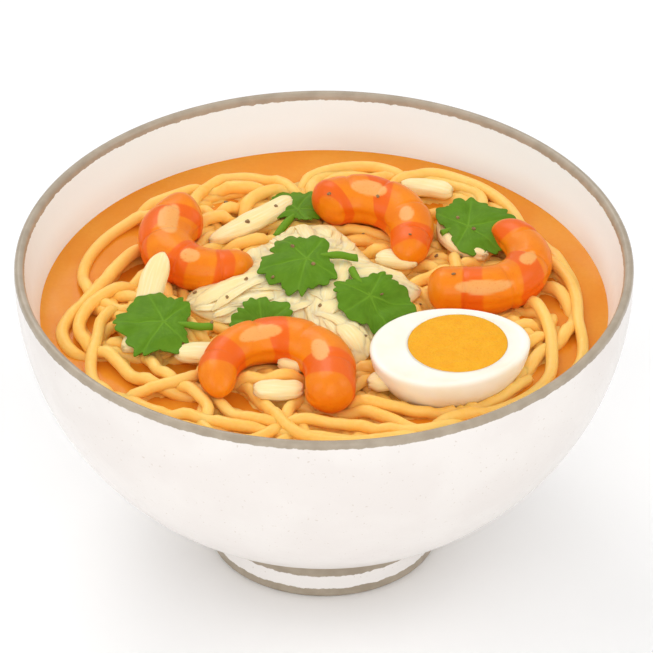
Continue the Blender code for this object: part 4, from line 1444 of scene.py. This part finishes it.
yolk_finish, tree, shader = finish(
    "egg_yolk", 0.62, (0.003, 0.0015, 0.0004), Specular_IOR_Level=0.25, Subsurface_Weight=0.25
)
crumb = plain_noise(tree, 1300, 5)
clump = steps(tree, plain_noise(tree, 260, 4), 0.3, 0.7)
warm = mixed(tree, clump, "F1A610", "F4AE18")
coloured(tree, shader, mixed(tree, steps(tree, crumb, 0.55, 0.75), warm, "EE9E0A"))
relief(tree, shader, crumb, 0.0003)

# %% Egg sizes
EGG_CENTRE = Vector((0.0405, -0.0378, 0.1008))
EGG_LENGTH, EGG_WIDTH = 0.0520, 0.0425
EGG_HEADING = 13
EGG_BLUNT = -0.10
YOLK_RADIUS = 0.0162
YOLK_OFFSET = Vector((0.0024, 0.0010, 0))
YOLK_SINK = 0.0018
YOLK_GAP = 0.0001  # between the yolk and the white round it
YOLK_SWELL = 0.00045  # how far the yolk's face stands up
CUT_EDGE = 0.0012  # rounding of the white's cut edge
FACE_DIP, FACE_WAVE = 0.0004, 0.00025  # how far the cut face dips between edge and yolk, and wanders
EGG_REACH = 0.023  # from the outline to its middle, about
WHITE_RINGS, HOLLOW_RINGS, BALL_RINGS, FACE_RINGS = 14, 10, 8, 26

egg_turn = Matrix.Rotation(math.radians(EGG_HEADING), 3, "Z")
yolk_middle = egg_turn.inverted() @ YOLK_OFFSET
yolk_rim_angle = math.asin(YOLK_SINK / YOLK_RADIUS)
face_radius = math.sqrt(YOLK_RADIUS**2 - YOLK_SINK**2)
round_egg = circle_points(128)
print(f"egg: {1000 * EGG_LENGTH:.0f} mm long, cut yolk {2000 * face_radius:.0f} mm wide")


# %% Egg shapes
def egg_outline(angle):
    """A point of the egg's outline in its cut face, about its middle."""
    x = EGG_LENGTH / 2 * math.cos(angle)
    return Vector((x, EGG_WIDTH / 2 * math.sin(angle) * (1 + EGG_BLUNT * math.cos(angle)), 0))


def egg_point(point):
    return EGG_CENTRE + egg_turn @ point


def cut_outline(inward, drop=0.0):
    """The egg's outline, moved in from the cut edge and down from the cut face."""
    return [egg_outline(angle) * (1 - inward / EGG_REACH) - Vector((0, 0, drop)) for angle, _, _ in round_egg]


def yolk_ring(angle, inset=0.0):
    """A level ring of the yolk's ball, at an angle up from the ball's middle."""
    spread, up = (YOLK_RADIUS - inset) * math.cos(angle), YOLK_RADIUS * math.sin(angle) - YOLK_SINK
    return [egg_point(yolk_middle + Vector((x * spread, y * spread, up))) for _, x, y in round_egg]


rings = []
for number in range(1, WHITE_RINGS + 1):  # the rounded underside, from the lowest point up to the cut edge
    angle = math.pi / 2 * number / WHITE_RINGS
    size, depth = math.sin(angle), math.cos(angle) * EGG_WIDTH / 2
    rings.append([egg_point(egg_outline(t) * size - Vector((0, 0, depth))) for t, _, _ in round_egg])
rings[-1] = [p - Vector((0, 0, CUT_EDGE)) for p in rings[-1]]
for angle in (30, 60, 90):
    inward, drop = (CUT_EDGE * (1 - f(math.radians(angle))) for f in (math.cos, math.sin))
    rings.append([egg_point(p) for p in cut_outline(inward, drop)])
for share in (0.15, 0.35, 0.55, 0.75, 0.90, 1.0):  # across the cut face
    ring = []
    for edge, (_, x, y) in zip(cut_outline(CUT_EDGE), round_egg):
        rim = yolk_middle + Vector((x, y, 0)) * face_radius
        wave = FACE_WAVE * noise.noise(rim * 90 + Vector((share, 0, 0)))
        dip = -FACE_DIP * math.sin(math.pi * share) + wave
        ring.append(egg_point(edge.lerp(rim, share) + Vector((0, 0, dip * (share < 1)))))
    rings.append(ring)
for number in range(1, HOLLOW_RINGS):
    rings.append(yolk_ring(blend(yolk_rim_angle, -math.pi / 2, number / HOLLOW_RINGS)))
lowest = egg_point(yolk_middle - Vector((0, 0, YOLK_SINK + YOLK_RADIUS)))
tips = [egg_point(Vector((0, 0, -EGG_WIDTH / 2))), lowest]
serve(ring_skin("half_egg_white", rings, tips, white_finish), "egg_white", "egg_white")

rings = []
for number in range(1, BALL_RINGS + 1):
    rings.append(yolk_ring(blend(-math.pi / 2, yolk_rim_angle, number / BALL_RINGS), YOLK_GAP))
for number in range(FACE_RINGS):
    share = 1 - (number + 0.25) / FACE_RINGS
    ring = []
    for _, x, y in round_egg:
        flat = yolk_middle + Vector((x, y, 0)) * face_radius * share
        crumble = 0.00022 * noise.noise(flat * 420) + 0.00012 * noise.noise(flat * 1100)
        ring.append(egg_point(flat + Vector((0, 0, YOLK_SWELL * (1 - share**6) + crumble))))
    rings.append(ring)
tips = [lowest, egg_point(yolk_middle + Vector((0, 0, 0.0005)))]
serve(ring_skin("half_egg_yolk", rings, tips, yolk_finish), "yolk", "egg_yolk")

# %% [markdown]
# ## Coriander
# A coriander leaf is thin and fan-shaped, cut into toothed lobes, with a vein down the middle of each.
# It's wilted by the hot broth, so it follows what lies under it. The blade is a fan of points out from
# its hub, sunk along the veins and puffed between them, with a second skin a third of a millimetre
# below. A cut-out plane would be quicker, but it would be flat and have no edge.
# %% Coriander finish
leaf_finish, tree, shader = finish(
    "coriander", 0.60, (0.0008, 0.0015, 0.0004), Specular_IOR_Level=0.2, Subsurface_Weight=0.08
)
green = mixed(tree, steps(tree, plain_noise(tree, 210, 5), 0.3, 0.7), "557F05", "608B14")
mesophyll = mixed(tree, arithmetic(tree, "MULTIPLY", plain_noise(tree, 1800, 2), 0.3), green, "4F7A04")
coloured(tree, shader, mixed(tree, attribute(tree, "vein"), mesophyll, "6E9A1E"))
relief(tree, shader, plain_noise(tree, 900, 3), 0.0001)

# %% Coriander sizes
LEAF_DOME = 0.0010  # how far the edge hangs under the hub
LEAF_DRAPE = 0.8  # share of the ground's fall that a leaf follows
LEAF_RUFFLE = 0.0012
LEAF_PUFF = 0.0005  # how far the blade stands up between veins
LEAF_LOBES = 5.5  # in a full turn
LEAF_SKIN = 0.00035
VEIN_WIDTH, FINE_VEIN_WIDTH = 0.00032, 0.00022
LEAF_BASE = math.radians(158)  # the blade ends at this angle on both sides of the stem
LEAF_POINTS = 198
LEAF_SHARES = (0.08, 0.16, 0.27, 0.38, 0.5, 0.62, 0.73, 0.83, 0.91, 0.97, 1.0)
SIDE_VEINS = 5.5
STALK_RINGS, STALK_SIDES = 16, 10
THIN_STEM, THICK_STEM = 0.0005, 0.0013  # half widths on the blade and past its edge
LEAVES = [  # place of the hub, heading, radius, stem length, height over what carries it, tilt
    ((-0.0056, 0.0055), 192, 0.0163, 0.0100, 0.0034, 8),
    ((-0.0516, -0.0196), 176, 0.0166, 0.0090, 0.0058, 9),
    ((0.0148, -0.0076), -64, 0.0153, 0.0055, 0.0030, 5),
    ((0.0468, 0.0358), 20, 0.0168, 0.0020, 0.0050, 7),
    ((-0.0200, -0.0190), 96, 0.0116, 0.0030, 0.0030, 2),
    ((-0.0088, 0.0495), 66, 0.0125, 0.0095, 0.0020, 3),
]
print(len(LEAVES), "leaves")


# %% Form of a leaf
def leaf_reach(angle, radius, seed):
    """Distance from the hub to the leaf's edge: round lobes, narrow notches, small teeth and chance."""

    def drift(rate, row):
        return noise.noise(Vector((angle * rate, seed, row)))

    spread = (0.5 + 0.5 * math.cos(angle)) ** 0.18
    lean = angle + 0.42 * drift(0.9, 7) + 0.10 * drift(3.1, 5)
    lobe = 0.80 + 0.18 * abs(math.cos(LEAF_LOBES / 2 * lean)) ** 0.8
    deep = 0.5 + drift(2.3, 9)
    tooth = 0.955 + 0.20 * deep * (abs(math.cos(1.7 * LEAF_LOBES * lean)) ** 1.2 - 0.4)
    chance = 1 + 0.13 * drift(1.4, 0) + 0.06 * drift(6, 3)
    return radius * spread * lobe * tooth * chance


def leaf_veins(angle, share, reach):
    """How much of a vein a place is, from 0 to 1, and how far the blade puffs up there."""
    lobe_angle = (angle + math.pi / LEAF_LOBES) % (2 * math.pi / LEAF_LOBES) - math.pi / LEAF_LOBES
    off_vein = abs(lobe_angle) * reach * share
    side_vein = abs((share * SIDE_VEINS - abs(lobe_angle) * 2.6) % 1 - 0.5) * reach / SIDE_VEINS
    main = math.exp(-((off_vein / VEIN_WIDTH) ** 2)) * (1 - 0.6 * share)
    fine = 0.55 * math.exp(-((side_vein / FINE_VEIN_WIDTH) ** 2)) * (share > 0.2) * (1 - share)
    puff = LEAF_PUFF * math.sin(min(1.0, off_vein / 0.0016) * math.pi / 2)
    return min(1.0, main + fine), puff * math.sin(math.pi * min(1, share * 1.05))


farthest = max(leaf_reach(angle, 0.016, 1) for angle, _, _ in circle_points(90))
print(f"a leaf of 16 mm reaches {farthest * 1000:.1f} mm from its hub")


# %% Coriander leaves
def make_leaf(name, leaf, seed):
    """A blade with its stem. laid() puts a place of the flat leaf onto what carries it."""
    hub, heading, radius, stem_length, lift, tilt = leaf
    hub, turn = Vector(hub), Matrix.Rotation(math.radians(heading), 2)
    level = heap_surface(hub) + lift
    slope = math.tan(math.radians(tilt))

    def laid(flat, puff):
        off = turn @ flat
        dome = LEAF_DOME * min(1.4, (flat.length / radius) ** 2)
        drape = LEAF_DRAPE * (heap_surface(hub + off) - heap_surface(hub))
        ruffle = LEAF_RUFFLE * noise.noise(Vector((*(flat * 170), seed)))
        ruffle *= min(1.0, flat.length / 0.008) ** 1.5
        return Vector((*(hub + off), level + drape + slope * off.y - dome + ruffle + puff))

    top, below, veins = [], [], []
    for share in LEAF_SHARES:
        ring, under, row = [], [], []
        for number in range(LEAF_POINTS):
            angle = blend(-LEAF_BASE, LEAF_BASE, number / (LEAF_POINTS - 1))
            reach = leaf_reach(angle, radius, seed)
            flat = Vector((math.cos(angle), math.sin(angle))) * reach * share
            vein, puff = leaf_veins(angle, share, reach)
            ring.append(laid(flat, puff))
            under.append(laid(flat, puff - LEAF_SKIN))
            row.append(vein)
        top.append(ring)
        below.insert(0, under)
        veins.append(row)
    tips = [laid(Vector((0, 0)), 0), laid(Vector((0, 0)), -LEAF_SKIN)]
    blade = ring_skin(name, top + below, tips, leaf_finish)
    paint(blade, "vein", [1.0, *(v for row in veins + veins[::-1] for v in row), 1.0])

    stem_length += radius * 0.42
    side = Vector((*(turn @ Vector((0, 1))), 0))
    stalk = []
    for number in range(STALK_RINGS + 1):
        share = number / STALK_RINGS
        along = Vector((-stem_length * share + 0.002 * (1 - share), 0.0009 * math.sin(3 * share + seed)))
        middle = laid(along, -0.0004)
        width = blend(THIN_STEM, THICK_STEM, min(1.0, share * stem_length / (0.6 * radius)) ** 2)
        ring = [middle + (side * x + Vector((0, 0, y))) * width for _, x, y in circle_points(STALK_SIDES)]
        stalk.append(ring)
    tips = [sum(ring, Vector()) / STALK_SIDES for ring in (stalk[0], stalk[-1])]
    stem = ring_skin("stem", stalk, tips, leaf_finish)
    paint(stem, "vein", [0.8] * len(stem.data.vertices))
    return joined(name, [blade, stem], leaf_finish)


for number, leaf in enumerate(LEAVES, 1):
    serve(make_leaf(f"coriander_leaf_{number}", leaf, 2.9 * number), "coriander", f"coriander_{number}")

# %% [markdown]
# ## Ground pepper
# Coarse flakes of pepper lie over everything. They're one small shape repeated, so they come from a
# tree that puts an instance on each point of a mesh and then makes the instances real. The points are
# found by rays from above, so that each flake sits on whatever is topmost there.
# %% Tree that scatters small things
scatter, add, calculate, given, end_with = new_tree(
    "scatter_on_points",
    {
        "Size": 0.001, "Height": 0.5, "Jagged": 0.3, "Tumble": 0.5, "Variation": 0.3,
        "Detail": 2, "Seed": 1,
    },
)  # fmt: skip
ball = add("GeometryNodeMeshIcoSphere", {"Radius": 1.0, "Subdivisions": given["Detail"]})
chipping = add("ShaderNodeTexNoise", {"Scale": 1.1, "Detail": 1.0}).outputs["Color"]
off_middle = add("ShaderNodeVectorMath", {0: chipping, 1: (0.5, 0.5, 0.5)}, operation="SUBTRACT").outputs[0]
chip = add("ShaderNodeVectorMath", {0: off_middle, "Scale": given["Jagged"]}, operation="SCALE")
chipped = add("GeometryNodeSetPosition", {"Geometry": ball.outputs[0], "Offset": chip.outputs[0]})
any_turn = {0: (0, 0, 0), 1: (1, 1, 6.283), "Seed": given["Seed"]}  # up to a full turn on the spot
spin = add("FunctionNodeRandomValue", any_turn, data_type="FLOAT_VECTOR").outputs[0]
tumbled = add("ShaderNodeCombineXYZ", {0: given["Tumble"], 1: given["Tumble"], 2: 1.0}).outputs[0]
turning = add("ShaderNodeVectorMath", {0: spin, 1: tumbled}, operation="MULTIPLY")
any_size = {2: calculate("SUBTRACT", 1.0, given["Variation"]), 3: 1.0, "Seed": given["Seed"]}
grown = add("FunctionNodeRandomValue", any_size, data_type="FLOAT").outputs[1]
size = calculate("MULTIPLY", grown, given["Size"])
scale = add("ShaderNodeCombineXYZ", {0: size, 1: size, 2: calculate("MULTIPLY", size, given["Height"])})
flakes = {"Points": given["Geometry"], "Instance": chipped.outputs[0]}
flakes |= {"Rotation": turning.outputs[0], "Scale": scale.outputs[0]}
end_with(add("GeometryNodeInstanceOnPoints", flakes).outputs[0])

# %% Pepper
PEPPER_SIZE = 0.00086
PEPPER_LIFT = 0.0001
RAY_TOP = 0.2
PEPPER = [  # in mm
    (-15.7, 49.0), (-24.9, 39.5), (-31.9, 53.7), (1.7, 44.2), (-10.2, 11.1), (-3.5, 2.4), (-25.1, 0.3),
    (-16.5, -2.1), (-41.7, 0.8), (-31.2, -6.7), (-1.2, -13.1), (17.5, 42.9), (12.6, 37.9), (27.9, 23.4),
    (36.5, 25.7), (41.8, 0.5), (30.9, 0.7), (18.6, -6.2), (48.6, 34.4), (43.5, 39.3), (-36.1, -20.8),
    (-15.9, -41.7), (13.3, -25.0), (13.9, -54.8),
]  # fmt: skip

pepper_finish, tree, shader = finish("pepper", 0.7)
shade = steps(tree, plain_noise(tree, 1600, 2), 0.35, 0.65)
coloured(tree, shader, mixed(tree, shade, "7E5C34", "A07E4E"))

depsgraph = bpy.context.evaluated_depsgraph_get()
sitting = []
for x, y in PEPPER:
    top = Vector((x / 1000, y / 1000, RAY_TOP))
    hit, place, normal, *_ = scene.ray_cast(depsgraph, top, Vector((0, 0, -1)))
    if hit:
        sitting.append(place + normal * PEPPER_LIFT)
points = bpy.data.meshes.new("pepper_places")
points.from_pydata(sitting, [], [])
pepper = made_by(
    scatter, "ground_pepper", points, Size=PEPPER_SIZE, Height=0.55, Jagged=0.9, Tumble=0.5,
    Variation=0.35, Detail=2, Seed=5, Material=pepper_finish,
)  # fmt: skip
serve(pepper, None)
